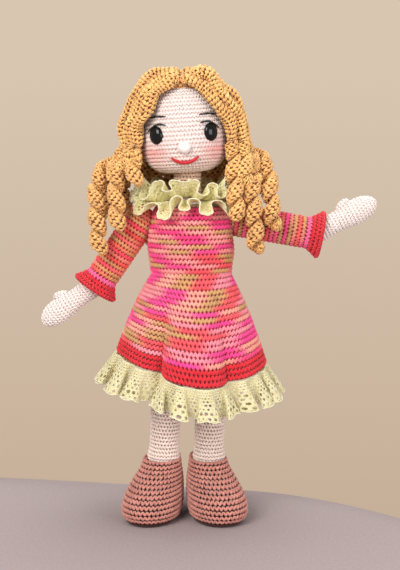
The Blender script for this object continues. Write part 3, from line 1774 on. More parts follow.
@dataclass
class Head:
    """The stuffed head, worked in level rounds, with blush on the cheeks."""

    radius: float = 0.0366
    bottom: float = 0.0130
    top: float = 0.0905
    rows: tuple = (
        (0.000, 1.000),
        (0.262, 0.981),
        (0.522, 0.918),
        (0.740, 0.817),
        (0.877, 0.690),
        (0.959, 0.551),
        (0.995, 0.411),
        (1.000, 0.285),
        (0.953, 0.171),
        (0.822, 0.076),
        (0.603, 0.013),
        (0.355, 0.000),
        (0.000, 0.000),
    )
    gauge: Gauge = Gauge(0.0037, 0.0031, lift=-0.0007, plump=0.9, hollow=0.80)
    cap_bottom: float = 0.0300
    dye: CheekDye = CheekDye(linear(241, 227, 222), 0.02)

    def radius_at(self, height: Array) -> Array:
        """The head's radius at heights on its axis."""
        rows = self.rows[-3::-1]
        heights = [between(self.bottom, self.top, up) for _, up in rows]
        return np.interp(height, heights, [wide * self.radius for wide, _ in rows])

    def outline(self) -> Array:
        """The head's outline from the crown down."""
        rows = [(wide * self.radius, between(self.bottom, self.top, up)) for wide, up in self.rows]
        line = smooth_path(rows, 72)
        line[:, 0] = np.maximum(line[:, 0], 0.0)
        return line

    def on_face(self, x: Array, height: Array, lift: float) -> Array:
        """Points in front of the face, at a distance from its surface."""
        radius = self.radius_at(height) + lift
        return np.stack([x, -np.sqrt(radius**2 - x**2), height + 0.0 * x], axis=-1)

    def hairline(self, height: Array) -> Array:
        """How far forward the cap comes at a height on the head."""
        return -np.interp(height, [self.cap_bottom, self.top], [0.0010, 0.0226])

    def bare(self, places: Array) -> Array:
        """Which places on the head the cap leaves bare, and a little under its edge."""
        return (places[:, 1] < self.hairline(places[:, 2]) + 0.005) | (places[:, 2] < self.cap_bottom + 0.004)

    def build(self, kit: Kit) -> None:
        """Makes the head.

        Args:
            kit: The stitches and finishes.
        """
        surface = Surface(revolve(self.outline(), 96))
        piece = Piece()
        piece.add_grid(surface.inset(0.0011), np.array(linear(228, 200, 192)), ends=False)
        piece.stitch(surface, kit.stitch, self.gauge, self.dye, self.bare)
        head = piece.build("head_yarn", kit.skin, BODY.head())
        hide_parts("head")
        declare([head], "head", "skin_yarn")


@dataclass
class Face:
    """What is sewn or pushed into the head: the eyes, lids, brows, nose and mouth."""

    head: Head
    gap: float = 0.0003
    eye: Triple = (0.0066, 0.0037, 0.0077)
    eye_back: float = 0.0008
    eye_x: float = 0.0226
    eye_z: float = 0.0457
    post_radius: float = 0.0020
    post_length: float = 0.0110
    nose: Triple = (0.0060, 0.0042, 0.0050)
    nose_z: float = 0.0340
    mouth_half_width: float = 0.0116
    mouth_z: float = 0.0216
    mouth_rise: float = 0.0047
    mouth_radius: float = 0.0015
    thread: float = 0.00080

    def place(self, piece: Thing, node: str, slot: str, matrix: Matrix) -> None:
        """Puts a piece of the face in its place on the head, and names what it stands for."""
        settle(piece, matrix)
        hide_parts(node)
        declare([piece], "head", slot)

    def build_eye(self, side: Side, kit: Kit) -> None:
        """Makes one safety eye: a polished oval dome with a flat back, on its post."""
        seat = float(self.head.radius_at(self.eye_z)) + self.gap
        azimuth = math.asin(side.value * self.eye_x / float(self.head.radius_at(self.eye_z)))
        deselect()
        lying = (math.pi / 2, 0.0, 0.0)
        bpy.ops.mesh.primitive_cylinder_add(
            vertices=24, radius=self.post_radius, depth=self.post_length,
            location=(0.0, self.post_length / 2, 0.0), rotation=lying,
        )
        post = name_piece("eye_post")
        bpy.ops.object.transform_apply()
        deselect()
        bpy.ops.mesh.primitive_uv_sphere_add(segments=48, ring_count=24, radius=1.0, rotation=lying)
        dome = name_piece(f"eye_dome_{side.word}")
        bpy.ops.object.transform_apply()
        back = (0.0, self.eye_back, 0.0)
        with whole_mesh():
            bpy.ops.transform.resize(value=self.eye, center_override=MIDDLE)
            bpy.ops.mesh.bisect(plane_co=back, plane_no=(0.0, 1.0, 0.0), use_fill=True, clear_outer=True)
        post.select_set(True)
        bpy.ops.object.join()
        bpy.ops.object.shade_smooth_by_angle(angle=math.radians(40.0))
        dome.data.materials.append(kit.eye)
        place = Matrix.Translation((seat * math.sin(azimuth), -seat * math.cos(azimuth), self.eye_z))
        self.place(
            dome, f"eye_{side.word}", "eye_black", BODY.head() @ place @ Matrix.Rotation(azimuth, 4, "Z")
        )

    def thread_piece(self, name: str, line: Array, radius: float, strands: int, material: Material) -> Thing:
        """Makes a twisted thread along a line of the head's frame.

        Args:
            name: The piece's name.
            line: Its points.
            radius: Its radius at its middle.
            strands: How many strands it is twisted from.
            material: Its finish.

        Returns:
            The object.
        """
        sides = 12
        path = even_path(line, 90)
        way = way_along(path)
        ends = np.clip(np.minimum(way, way[-1] - way) / (3.2 * radius), 0.0, 1.0)
        angle = ring_angles(sides)
        ridges = 0.80 + 0.24 * np.abs(
            np.sin(0.5 * strands * (angle[None, :] + way[:, None] / (2.6 * radius)))
        )
        grid = tube_grid(path, (radius * np.sqrt(0.15 + 0.85 * ends))[:, None] * ridges, sides)
        piece = Piece()
        piece.add_grid(grid, np.ones(3))
        return piece.build(name, material, BODY.head())

    def build_threads(self, side: Side, kit: Kit) -> None:
        """Makes the brow and the thread along the upper lid."""
        share = np.linspace(0.0, 1.0, 9)
        arch = np.sin(math.pi * share)
        dip = np.array([0.0, 0.3, -0.2, 0.25, -0.15, 0.3, -0.25, 0.2, 0.0]) * 0.0006
        x = between(0.0140, 0.0282, share)
        brow = self.head.on_face(side.value * x, 0.0605 + 0.0006 * arch + dip, 0.0007)
        x = between(0.0145, 0.0302, share)
        high = between(0.0535, 0.0486, share) + 0.0034 * arch
        lid = self.head.on_face(side.value * x, high, 0.0008 + 0.0006)
        for name, line in (("brow", brow), ("eyelid", lid)):
            line = smooth_path(line, 60)
            thread = self.thread_piece(f"{name}_thread_{side.word}", line, self.thread, 2, kit.black_thread)
            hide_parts(f"{name}_{side.word}")
            declare([thread], "head", "black_thread")

    def build(self, kit: Kit) -> None:
        """Makes the whole face.

        Args:
            kit: The finishes.
        """
        for side in Side:
            self.build_eye(side, kit)
            self.build_threads(side, kit)
        deselect()
        bpy.ops.mesh.primitive_uv_sphere_add(segments=40, ring_count=24, radius=1.0)
        pad = name_piece("nose_satin")
        with whole_mesh():
            bpy.ops.transform.resize(value=self.nose, center_override=MIDDLE)
        for corner in pad.data.vertices:
            low = max(0.0, -corner.co.z / self.nose[2])
            corner.co.x *= 1.0 - 0.22 * low
            corner.co.y *= 1.0 + 0.10 * low
        pad.data.shade_smooth()
        pad.data.materials.append(kit.satin)
        spot = self.head.on_face(np.array(0.0), np.array(self.nose_z), 0.0004)
        self.place(pad, "nose", "nose_satin", BODY.head() @ Matrix.Translation(spot))
        along = np.linspace(-1.0, 1.0, 13)
        line = self.head.on_face(
            self.mouth_half_width * along, self.mouth_z + self.mouth_rise * along**2, 0.0011
        )
        mouth = self.thread_piece("mouth_floss", smooth_path(line, 60), self.mouth_radius, 6, kit.red_floss)
        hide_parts("mouth")
        declare([mouth], "head", "mouth_thread")


@dataclass
class Hair:
    """The crocheted cap, and the strands that lie over it from the parting and hang down as curls."""

    head: Head
    cap: float = 0.0022
    gap: float = 0.0003
    under_face: float = 0.0035
    round_z: float = 0.0500
    radius: float = 0.0050
    helix: float = 0.0037
    pitch: float = 0.0185
    points_per_turn: int = 8
    start_share: float = 0.80
    drape_points: int = 12
    spread_height: float = 0.0320
    forward_height: float = 0.0650
    lift: float = 0.0005
    front_azimuth: float = math.radians(66.0)
    back_azimuth: float = math.radians(169.0)
    leaves_at: float = math.radians(104.0)
    parting: Pair = (math.radians(-31.0), math.radians(84.0))
    parting_half_width: float = 0.0046
    reach: Pair = (0.0790, 0.0710)
    standoff: float = 0.0460
    drop: float = 0.1000
    strands: tuple = (
        (0.000, 0.000, 0.560, -0.720, 0.330, 0.660),
        (0.145, 0.150, 0.765, -0.640, 0.680, 0.960),
        (0.290, 0.320, 0.985, -0.540, 0.880, 0.780),
        (0.435, 0.490, 0.935, 0.540, 0.620, 0.480),
        (0.580, 0.660, 0.730, 0.750, 0.760, 0.620),
        (0.745, 0.830, 0.510, 0.940, 0.900, 0.520),
        (1.000, 1.000, 0.220, 1.060, 0.600, 0.560),
    )
    over_strands: tuple = (
        (0.073, 0.075, 0.690, -0.890, 0.200, 0.360),
        (0.218, 0.235, 0.800, -0.775, 0.300, 0.360),
        (0.508, 0.575, 0.888, 0.805, 0.560, 0.460),
        (0.870, 0.915, 0.380, 1.240, 0.520, 0.620),
        (0.960, 1.040, 0.000, 1.200, 0.480, 0.500),
    )
    lifts: tuple = ((0.0026, 0.0072, None, 0.0072, None), (0.0072, 0.0072, 0.0072, 0.0072, 0.0060))
    arches: tuple = ((0.0, 0.0042, 0.0, 0.0, 0.0), (0.0058, 0.0020, 0.0, 0.0, 0.0))
    arch_at: float = 0.20
    arch_spread: float = 0.15
    ripple: float = 0.0011
    root: float = 0.0010
    parting_dip: float = 0.0022
    sway: float = 0.085
    strap: Pair = (0.0061, 0.0041)
    lobe: Pair = (0.0062, 0.0038)
    twist: float = FULL / 0.058
    gauge: Gauge = Gauge(0.0039, 0.0038, lift=-0.0008, plump=1.08, jitter=0.10, hollow=0.30)
    cap_gauge: Gauge = Gauge(0.0046, 0.0046, lift=-0.0008, jitter=0.06, hollow=0.5)
    uneven: float = 0.08
    colour: Triple = linear(250, 192, 117)
    core: Triple = linear(118, 58, 20)
    cap_core: Triple = linear(210, 144, 78)

    def drape_point(self, direction: Vector, radius: float) -> Vector:
        """Where a strand of a radius lies on the cap in a direction from the middle of the hair."""
        side = self.head.radius + self.gap + self.cap + self.lift + radius
        up = self.head.top - self.round_z + self.gap + self.cap + self.lift + radius
        level = math.hypot(direction.x, direction.y)
        if direction.z < 0.0:
            side /= level
        return Vector((direction.x * side, direction.y * side, self.round_z + direction.z * up))

    def route(self, row: tuple, side: Side, raised: Pair) -> tuple[Array, int]:
        """The points of one strand.

        Args:
            row: Its row of shares.
            side: The side it hangs on.
            raised: How far it comes to lie above the sewn strands, and how high it arches near the parting.

        Returns:
            The points, and how many of them lie on the head.
        """
        lift, arch = raised
        along_parting, leaving, reach_share, depth_share, fall_left, fall_right = row
        parting = between(*self.parting, along_parting)
        start = Vector((0.0, math.sin(parting), math.cos(parting)))
        start.x = side.value * self.parting_half_width / self.head.radius
        start.normalize()
        azimuth = between(self.front_azimuth, self.back_azimuth, leaving)
        flat = math.sin(self.leaves_at)
        end = Vector(
            (side.value * math.sin(azimuth) * flat, -math.cos(azimuth) * flat, math.cos(self.leaves_at))
        )
        points = []
        for n in range(self.drape_points):
            along = n / (self.drape_points - 1)
            share = between(self.start_share, 1.0, min(1.0, 2.0 * along))
            direction = start.slerp(end, along)
            swayed = side.value * self.sway * math.sin(3.0 * math.pi * along) * math.sin(math.pi * along)
            direction.rotate(Matrix.Rotation(swayed, 3, "Z"))
            higher = lift * along**1.2 + arch * math.exp(-(((along - self.arch_at) / self.arch_spread) ** 2))
            higher += (
                self.ripple * (lift > 0.0) * math.sin(5.0 * math.pi * along + 40.0 * leaving + side.value)
            )
            points.append(self.drape_point(direction, self.radius * share + higher))
        root = Vector((side.value * self.root, points[0].y, points[0].z - self.parting_dip))
        points.insert(0, root)
        leave = points[-1]
        hang_x = side.value * reach_share * side.pick(self.reach)
        hang_y = depth_share * self.standoff
        fall = side.pick((fall_left, fall_right)) * self.drop
        count = round(fall / self.pitch * self.points_per_turn)
        for n in range(1, count + 1):
            down = fall * n / count
            spread = math.sin(math.pi / 2 * min(1.0, down / self.spread_height))
            forward = math.sin(math.pi / 2 * min(1.0, down / self.forward_height)) ** 2
            centre = Vector(
                (between(leave.x, hang_x, spread), between(leave.y, hang_y, forward), leave.z - down)
            )
            turn = FULL * centre.z / self.pitch
            swing = self.helix * min(1.0, down / self.pitch)
            points.append(centre + swing * Vector((side.value * math.cos(turn), math.sin(turn), 0.0)))
        return np.array(points), self.drape_points + 1

    def strand_surface(self, row: tuple, side: Side, raised: Pair) -> Surface:
        """The outer side of one strand: a twisted strap over the cap, then a flat ribbon that winds down.

        Args:
            row: Its row of shares.
            side: The side it hangs on.
            raised: How far it comes to lie above the sewn strands, and how high it arches near the parting.

        Returns:
            The surface.
        """
        given, on_cap = self.route(row, side, raised)
        fine = 5 * len(given)
        path = smooth_path(given, fine)
        way = way_along(path)
        leave = way_along(smooth_path(given[:on_cap], 60))[-1]
        run = np.gradient(path, axis=0)
        run /= np.linalg.norm(run, axis=1, keepdims=True)
        centre = np.stack([np.interp(way, way_along(given), given[:, axis]) for axis in range(3)], axis=1)
        width = max(3, int(round(self.pitch * 1.5 / (way[-1] / fine))))
        kernel = np.ones(width) / width
        padded = np.pad(centre, ((width // 2, width - 1 - width // 2), (0, 0)), mode="edge")
        axis_line = np.stack(
            [np.convolve(padded[:, axis], kernel, mode="valid") for axis in range(3)], axis=1
        )
        outward = path - np.array([0.0, 0.0, self.round_z])
        wound = path - axis_line
        hanging = ease(way, leave - 0.002, leave + 0.016)[:, None]
        outward /= np.linalg.norm(outward, axis=1, keepdims=True)
        wound /= np.maximum(np.linalg.norm(wound, axis=1, keepdims=True), 1e-6)
        # Both directions are read as turns round the strand, so that one can lead smoothly into the other.
        one = carried(run, (0.2, 0.1, 1.0))
        two = np.cross(run, one)
        turns = []
        for wanted in (outward, wound):
            turns.append(np.unwrap(np.arctan2((wanted * two).sum(axis=1), (wanted * one).sum(axis=1))))
        turns[0] = turns[0] + self.twist * (way - leave)
        at = min(int(np.searchsorted(way, leave + 0.010)), len(way) - 1)
        turns[1] += FULL * round((turns[0][at] - turns[1][at]) / FULL)
        turn = turns[0] * (1.0 - hanging[:, 0]) + turns[1] * hanging[:, 0]
        up = one * np.cos(turn)[:, None] + two * np.sin(turn)[:, None]
        beside = np.cross(run, up)
        wide = between(self.strap[0], self.lobe[0], hanging[:, 0])
        thick = between(self.strap[1], self.lobe[1], hanging[:, 0])
        root = 0.86 + 0.14 * ease(way, 0.0, 0.020)
        tip = np.sqrt(np.clip(1.0 - (np.clip(way - way[-1] + 0.007, 0.0, 1.0) / 0.007) ** 2, 0.0, 1.0))
        head = np.sqrt(np.clip(1.0 - (np.clip(0.0024 - way, 0.0, 1.0) / 0.0024) ** 2, 0.0, 1.0))
        size = root * np.maximum(tip, 0.02) * np.maximum(head, 0.02)
        return Surface(
            path[:, None] + ring_points(beside * (wide * size)[:, None], up * (thick * size)[:, None], 32)
        )

    def build_cap(self, kit: Kit) -> None:
        """Makes the cap, whose wall repeats the CAD cap under its stitches."""
        line = self.head.outline()
        line = line[line[:, 1] > self.head.cap_bottom]
        off = (line[:, 1] - self.head.bottom) / (self.head.top - self.head.bottom)
        grown = self.gap + self.cap
        wide = line[:, 0] + np.where(line[:, 0] > 0, grown, 0.0)
        outer = np.stack([wide, line[:, 1] + grown * (off - 0.5) * 2.0], axis=1)
        outer[0, 0] = 0.0
        surface = Surface(revolve(outer, 96))
        grid = surface.inset(0.0012)
        front = grid[..., 1] < self.head.hairline(grid[..., 2]) + 0.0008
        grid = np.where(front[..., None], surface.inset(grown + self.under_face), grid)
        piece = Piece()
        piece.add_grid(grid, self.cap_core)
        dye = PlainDye(tuple(0.90 * c for c in self.colour), self.uneven)
        piece.stitch(
            surface, kit.fine_stitch, self.cap_gauge, dye,
            lambda places: places[:, 1] > self.head.hairline(places[:, 2]) + 0.0012,
        )
        cap = piece.build("wig_cap_yarn", kit.hair, BODY.head())
        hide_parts("wig_cap")
        declare([cap], "head", "hair_yarn")

    def build(self, kit: Kit) -> None:
        """Makes the cap and all the strands.

        Args:
            kit: The stitches and finishes.
        """
        self.build_cap(kit)
        for side in Side:
            for index, row in enumerate(self.strands):
                shade = 0.98 - 0.04 * index - 0.05 * (index % 2)
                curl = self.build_strand(
                    f"hair_strand_{side.word}_{index + 1}", row, side, (0.0, 0.0), shade, kit
                )
                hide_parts(f"hair_curl_{side.word}_{index + 1}")
            for index, row in enumerate(self.over_strands):
                raised = (side.pick(self.lifts)[index], side.pick(self.arches)[index])
                if raised[0] is not None:
                    name = f"over_strand_{side.word}_{index + 1}"
                    self.build_strand(name, row, side, raised, 1.10 - 0.05 * index, kit)

    def build_strand(
        self, name: str, row: tuple, side: Side, raised: Pair, shade: float, kit: Kit
    ) -> Thing:
        """Makes one strand.

        Args:
            name: Its name.
            row: Its row of shares.
            side: The side it hangs on.
            raised: How far it comes to lie above the sewn strands, and how high it arches near the parting.
            shade: How light its yarn is.
            kit: The stitches and finishes.

        Returns:
            The object.
        """
        surface = self.strand_surface(row, side, raised)
        piece = Piece()
        piece.add_grid(surface.inset(0.0013), self.core)
        crest = self.head.radius + self.gap + self.cap + self.lift + self.radius + raised[0]
        dye = GrooveDye(tuple(c * shade for c in self.colour), self.uneven, middle=self.round_z, crest=crest)
        piece.stitch(surface, kit.fine_stitch, self.gauge, dye)
        curl = piece.build(name, kit.hair, BODY.head())
        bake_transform(curl)
        return curl


# Arms


@dataclass
class Arm:
    """One arm: its sleeve and flared cuff over the stuffed upper arm, and the bare forearm with its hand."""

    side: Side
    sleeve_radius: float = 0.0140
    wall: float = 0.0027
    gap: float = 0.0003
    opening: float = math.radians(25.0)
    sleeve_end: float = 0.0570
    sleeve_end_share: float = 0.975
    cuff_end: float = 0.0710
    cuff_rows: tuple = (
        (0.00, 0.975), (0.16, 0.975), (0.52, 1.180), (0.76, 1.360), (0.90, 1.460), (1.00, 1.465)
    )
    elbow_radius: float = 0.0094
    hand_length: float = 0.0600
    hand_half_width: float = 0.0106
    hand_rows: tuple = (
        (0.000, 0.887, 0.887),
        (0.120, 0.887, 0.887),
        (0.230, 0.850, 0.840),
        (0.345, 0.811, 0.790),
        (0.480, 0.880, 0.800),
        (0.620, 0.985, 0.820),
        (0.740, 1.000, 0.810),
        (0.860, 0.880, 0.720),
        (0.950, 0.600, 0.510),
        (1.000, 0.250, 0.220),
    )
    thumb_along: float = 0.0330
    thumb_out: float = 0.0098
    thumb_size: Pair = (0.0040, 0.0074)
    thumb_splay: float = math.radians(22.0)
    sleeve_gauge: Gauge = Gauge(0.0038, 0.0034, lift=-0.0008, plump=1.08, hollow=0.50, slim=1.02)
    hand_gauge: Gauge = Gauge(0.0032, 0.0029, lift=-0.0007, hollow=0.82, slim=1.10)
    thumb_gauge: Gauge = Gauge(0.0030, 0.0027, lift=-0.0005, hollow=0.82, slim=1.10)
    hand_dye: PlainDye = PlainDye(linear(243, 231, 225), 0.025)

    def build_sleeve(self, kit: Kit) -> None:
        """Makes the sleeve and the cuff."""
        angle = np.linspace(self.opening, math.pi / 2, 10)
        end = self.sleeve_end_share * self.sleeve_radius
        rounded = np.stack([np.sin(angle), np.cos(angle)], axis=1)
        outer = even_path(np.vstack([rounded * self.sleeve_radius, [[end, -self.sleeve_end]]]), 44)
        inner_radius = self.sleeve_radius - self.wall
        inner = even_path(np.vstack([rounded * inner_radius, [[end - self.wall, -self.sleeve_end]]]), 44)
        lengths = self.side.pick(SLEEVE_LENGTHS)
        dye = PoolingDye(SKIN_COLOUR, 0.05, lengths=lengths, turns=0.28, slide=1.0, wander=0.05)
        word, frame_of_arm = self.side.word, BODY.arm(self.side)
        arm = f"upper_arm_{word}"
        same = {"body": arm, "seam": 0.0012, "glow": 1.3}
        sleeve = Cloth(f"sleeve_{word}", arm, self.sleeve_gauge, dye, DRESS_CORE, kit.dress, **same)
        sleeve.build(revolve(inner, 72), revolve(outer, 72), kit.stitch, frame_of_arm)
        first = self.sleeve_end + self.gap
        flare = [
            (share * self.sleeve_radius, -between(first, self.cuff_end, down))
            for down, share in self.cuff_rows
        ]
        rows = smooth_path(flare, 24)
        lining = rows - np.array([self.wall, 0.0])
        lip = rows[-1] + np.array([(-0.0004, -0.0008), (-0.0016, -0.0010), (-0.0026, -0.0002)])
        outer = np.vstack([rows, lip, lining[-3:-2]])
        inner = np.vstack([lining[:-3], np.linspace(lining[-4], lining[-3], 3), np.tile(lining[-3], (4, 1))])
        dye = PoolingDye(SKIN_COLOUR, 0.05, lengths=CUFF_LENGTHS, band_rows=4)
        same["slot"] = "cuff_yarn"
        cuff = Cloth(f"cuff_{word}", f"sleeve_{word}", self.sleeve_gauge, dye, BAND_CORE, kit.cuff, **same)
        cuff.build(revolve(inner, 72), revolve(outer, 72), kit.stitch, frame_of_arm)

    def build_upper_arm(self, kit: Kit) -> None:
        """Makes the stuffed arm inside the sleeve."""
        radius = self.sleeve_radius - self.wall - self.gap
        end = BODY.elbow_reach - self.elbow_radius - self.gap
        angle = np.linspace(0.02, math.pi / 2, 8)
        rounded = np.stack([radius * np.sin(angle), radius * np.cos(angle)], axis=1)
        last = self.sleeve_end_share * self.sleeve_radius - self.wall - self.gap
        outline = np.vstack([rounded, [[last, -end + 0.002], [last - 0.002, -end], [0.0008, -end]]])
        surface = Surface(revolve(even_path(outline, 40), 48))
        piece = Piece()
        piece.add_grid(surface.inset(0.0012), SKIN_CORE)
        piece.stitch(
            surface, kit.fine_stitch, self.hand_gauge, SKIN_DYE, lambda places: places[:, 2] < -0.045
        )
        arm = piece.build(f"upper_arm_yarn_{self.side.word}", kit.skin, BODY.arm(self.side))
        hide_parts(f"upper_arm_{self.side.word}")
        declare([arm], f"upper_arm_{self.side.word}", "skin_yarn")

    def build_hand(self, kit: Kit) -> None:
        """Makes the forearm with its hand, and the thumb."""
        word = self.side.word
        angle = np.linspace(0.12, math.pi / 2, 6)
        size = np.array([-self.hand_length, self.hand_half_width, self.hand_half_width])
        ball = [self.elbow_radius * np.array([math.cos(a), math.sin(a), math.sin(a)]) for a in angle]
        tip = (-1.012 * self.hand_length, 0.0002, 0.0002)
        rows = np.vstack([ball, np.array(self.hand_rows[1:]) * size, [tip]])
        line = smooth_path(rows, 60)
        around = ring_angles(56)
        wide = np.maximum(line[:, 1:2], 0.0001) * np.cos(around)
        deep = np.maximum(line[:, 2:3], 0.0001) * np.sin(around)
        surface = Surface(np.stack([wide, deep, line[:, :1] + 0.0 * around], axis=2))
        piece = Piece()
        piece.add_grid(surface.inset(0.0011), HAND_CORE)
        piece.stitch(surface, kit.stitch, self.hand_gauge, self.hand_dye)
        hand = piece.build(f"forearm_yarn_{word}", kit.skin, BODY.forearm(self.side))
        out = self.side.value * self.thumb_out
        turned = Matrix.Rotation(-self.side.value * self.thumb_splay, 4, "Y")
        place = Matrix.Translation((out, 0.0, -self.thumb_along)) @ turned
        turn = np.linspace(0.0, math.pi, 24)
        outline = np.stack([self.thumb_size[0] * np.sin(turn), self.thumb_size[1] * np.cos(turn)], axis=1)
        surface = Surface(revolve(outline, 32))
        piece = Piece()
        piece.add_grid(surface.inset(0.0009), HAND_CORE)
        piece.stitch(surface, kit.stitch, self.thumb_gauge, self.hand_dye)
        thumb = piece.build(f"thumb_yarn_{word}", kit.skin, BODY.forearm(self.side) @ place)
        for part, node in ((hand, f"forearm_{word}"), (thumb, f"thumb_{word}")):
            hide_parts(node)
        declare((hand, thumb), f"forearm_{word}", "skin_yarn")

    def build(self, kit: Kit) -> None:
        """Makes the whole arm.

        Args:
            kit: The stitches and finishes.
        """
        self.build_sleeve(kit)
        self.build_upper_arm(kit)
        self.build_hand(kit)


# Hidden pieces, stage, camera and light


@dataclass
class InnerPieces:
    """The hard pieces inside the doll, which keep their CAD shapes and get their materials."""

    wood: HardFinish = HardFinish(
        "dowel_wood", linear(206, 172, 122), (0.45, 0.7), grain=(900.0, 900.0, 60.0), depth=0.0002
    )
    steel: HardFinish = HardFinish(
        "armature_wire", linear(176, 178, 182), (0.25, 0.45), metallic=1.0, grain=(1500.0, 1500.0, 200.0)
    )
    plastic: HardFinish = HardFinish("washer_white", linear(240, 238, 232), (0.35, 0.5))
    card: HardFinish = HardFinish(
        "insole_card", linear(206, 196, 176), (0.75, 0.9), grain=(1200.0, 1200.0, 200.0)
    )

    def build(self) -> None:
        """Gives each hard CAD node its material."""
        finishes = {
            ("neck_rod", "leg_rod_left", "leg_rod_right"): self.wood,
            ("arm_wire_left", "arm_wire_right", "forearm_wire_left", "forearm_wire_right"): self.steel,
            ("eye_washer_left", "eye_washer_right"): self.plastic,
            ("insole_left", "insole_right"): self.card,
        }
        for names, finish in finishes.items():
            material = finish.build()
            for name in names:
                frame["nodes"][name].material_slots[0].material = material


@dataclass
class Stage:
    """The pale floor, which falls away softly behind the doll."""

    colour: Triple = linear(167, 153, 153)
    half_width: float = 1.2
    front: float = -1.3
    roll: float = 1.9

    def edge(self, x: Array) -> Array:
        """How far back the floor starts to fall away."""
        return 0.030 - 0.19 * x - 3.2 * np.clip(x - 0.03, 0.0, 0.16) ** 2

    def build(self) -> None:
        """Makes the floor."""
        across = np.linspace(-1.0, 1.0, 121)
        across = self.half_width * np.sign(across) * np.abs(across) ** 1.6
        back = self.edge(across)
        flat = np.linspace(0.0, 1.0, 24)[:, None]
        depth = self.front + (back - self.front) * flat
        level = np.stack([across + 0.0 * flat, depth, np.zeros_like(depth)], axis=2)
        fall = np.linspace(0.0, 1.0, 40)[1:, None] ** 1.2 * 0.45
        drop = -self.roll * fall**2
        slope = np.stack([across + 0.0 * fall, back + fall, drop + 0.0 * across], axis=2)
        grid = np.concatenate([level, slope])
        rows, columns = grid.shape[:2]
        here = (np.arange(rows - 1)[:, None] * columns + np.arange(columns - 1)).ravel()
        quads = np.stack([here, here + 1, here + columns + 1, here + columns], axis=1)
        mesh = bpy.data.meshes.new("floor")
        mesh.from_pydata(grid.reshape(-1, 3).tolist(), [], quads.tolist())
        mesh.shade_smooth()
        floor = add_object("floor", mesh)
        board = Board("floor_cloth")
        board.colour(self.colour, board.noise(420.0, 5.0), 0.90, 1.08)
        board.bump(board.noise(900.0), 0.35, 0.0006)
        board.fixed(Roughness=0.95, Specular_IOR_Level=0.2)
        mesh.materials.append(board.material)


@dataclass(frozen=True)
class Lamp:
    """One soft area light."""

    name: str
    place: Triple
    size: float
    power: float
    colour: Triple = (1.0, 1.0, 1.0)
    aim: Triple = (0.0, 0.0, 0.2)

    def build(self) -> None:
        """Adds the lamp, aimed at the doll."""
        data = bpy.data.lights.new(self.name, "AREA")
        data.shape = "SQUARE"
        data.size = self.size
        data.energy = self.power
        data.color = self.colour
        lamp = add_object(self.name, data)
        lamp.location = self.place
        lamp.rotation_euler = (Vector(self.aim) - Vector(self.place)).to_track_quat("-Z", "Y").to_euler()


@dataclass
class Studio:
    """The light, the pale backdrop and the camera."""

    lamps: tuple[Lamp, ...] = (
        Lamp("key", (-0.75, -1.25, 1.05), 0.85, 23.0, (1.0, 0.98, 0.95)),
        Lamp("fill", (1.05, -1.1, 0.35), 0.9, 12.0, (1.0, 0.97, 0.97)),
        Lamp("top", (0.1, 0.35, 1.3), 0.8, 7.0),
    )
    sky: float = 0.52
    backdrop_low: Triple = linear(198, 175, 152)
    backdrop_high: Triple = linear(216, 198, 177)
    backdrop_span: Pair = (-0.30, 0.05)
    camera_place: Triple = (-0.0072, -1.100, 0.334)
    pitch: float = math.radians(6.9)
    lens: float = 80.5

    def build_world(self) -> None:
        """Lights the scene evenly, and shows the camera a plain beige backdrop."""
        world = bpy.data.worlds.new("studio")
        world.use_nodes = True
        tree = world.node_tree
        tree.nodes.clear()
        add, join = tree.nodes.new, tree.links.new
        output, seen, light = (
            add("ShaderNodeOutputWorld"), add("ShaderNodeBackground"), add("ShaderNodeBackground")
        )
        light.inputs["Color"].default_value = (1.0, 0.985, 0.965, 1.0)
        light.inputs["Strength"].default_value = self.sky
        way, split = add("ShaderNodeTexCoord"), add("ShaderNodeSeparateXYZ")
        ramp, mix = add("ShaderNodeMapRange"), add("ShaderNodeMix")
        mix.data_type = "RGBA"
        mix.inputs[6].default_value = (*self.backdrop_low, 1.0)
        mix.inputs[7].default_value = (*self.backdrop_high, 1.0)
        ramp.inputs["From Min"].default_value, ramp.inputs["From Max"].default_value = self.backdrop_span
        join(way.outputs["Generated"], split.inputs["Vector"])
        join(split.outputs["Z"], ramp.inputs["Value"])
        join(ramp.outputs["Result"], mix.inputs[0])
        join(mix.outputs[2], seen.inputs["Color"])
        path, pick = add("ShaderNodeLightPath"), add("ShaderNodeMixShader")
        join(path.outputs["Is Camera Ray"], pick.inputs["Fac"])
        join(light.outputs["Background"], pick.inputs[1])
        join(seen.outputs["Background"], pick.inputs[2])
        join(pick.outputs["Shader"], output.inputs["Surface"])
        bpy.context.scene.world = world

    def build(self) -> None:
        """Makes the lamps, the world and the camera."""
        for lamp in self.lamps:
            lamp.build()
        self.build_world()
        data = bpy.data.cameras.new("camera")
        data.lens = self.lens
        camera = add_object("camera", data)
        camera.location = self.camera_place
        camera.rotation_euler = (math.pi / 2 - self.pitch, 0.0, 0.0)
        bpy.context.scene.camera = camera
        bpy.context.scene.view_settings.view_transform = "Standard"


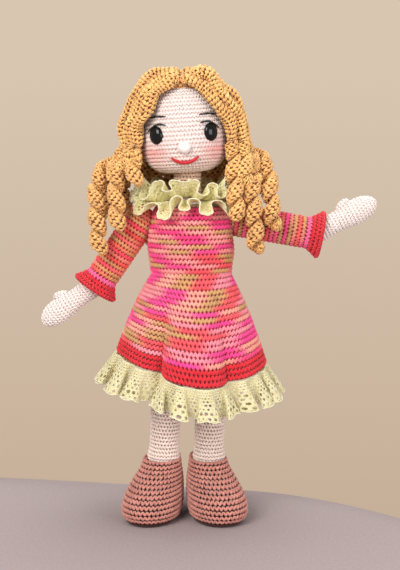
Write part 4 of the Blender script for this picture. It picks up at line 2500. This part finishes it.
def main() -> None:
    """Makes every sub-assembly in order, and reports each."""
    logging.basicConfig(level=logging.INFO, format="%(name)s: %(message)s")
    studio = Studio()
    studio.build()
    Stage().build()
    kit = Kit(
        stitch=Stitch(),
        fine_stitch=Stitch(rings=3),
        skin=YarnFinish("skin_yarn", sheen=0.25).build(),
        hair=YarnFinish("hair_yarn", sheen=0.3, roughness=(0.6, 0.85), mottle=(0.86, 1.12)).build(),
        dress=YarnFinish("dress_yarn", sheen=0.3, roughness=(0.62, 0.85)).build(),
        cuff=YarnFinish("cuff_yarn", sheen=0.3, roughness=(0.62, 0.85)).build(),
        shoe=YarnFinish("shoe_yarn", sheen=0.3, mottle=(0.85, 1.12)).build(),
        sole=YarnFinish("sole_yarn", sheen=0.3).build(),
        lace=LaceFinish("lace_cotton", linear(230, 221, 178), linear(214, 203, 148)).build(),
        collar_lace=LaceFinish("collar_lace", linear(240, 232, 176), linear(228, 220, 154)).build(),
        lace_cord=LaceFinish("lace_cord", linear(238, 233, 192), linear(230, 223, 176)).build(),
        black_thread=ThreadFinish("black_thread", linear(22, 20, 22), (0.5, 0.7)).build(),
        red_floss=ThreadFinish("mouth_thread", linear(196, 16, 32), (0.45, 0.6)).build(),
        satin=ThreadFinish(
            "nose_satin", linear(236, 224, 221), (0.35, 0.5), stripe=(1.0, 0.0, 0.0), strands=7200.0
        ).build(),
        eye=HardFinish("eye_black", linear(8, 8, 9), (0.10, 0.16), depth=0.00002, gloss=0.35).build(),
    )
    head = Head()
    legs = [Leg(side) for side in Side]
    dress = Dress()
    makers = [
        *legs,
        *(Shoe(leg.side, leg) for leg in legs),
        Torso(),
        dress,
        HemLace(dress),
        Collar(),
        head,
        Face(head),
        Hair(head),
        *(Arm(side) for side in Side),
    ]
    for maker in makers:
        maker.build(kit)
        log.info("made %s", type(maker).__name__)
    InnerPieces().build()
    total = sum(len(p.data.polygons) for p in bpy.data.objects if p.type == "MESH")
    log.info("%d faces in all", total)


if __name__ == "__main__":
    main()
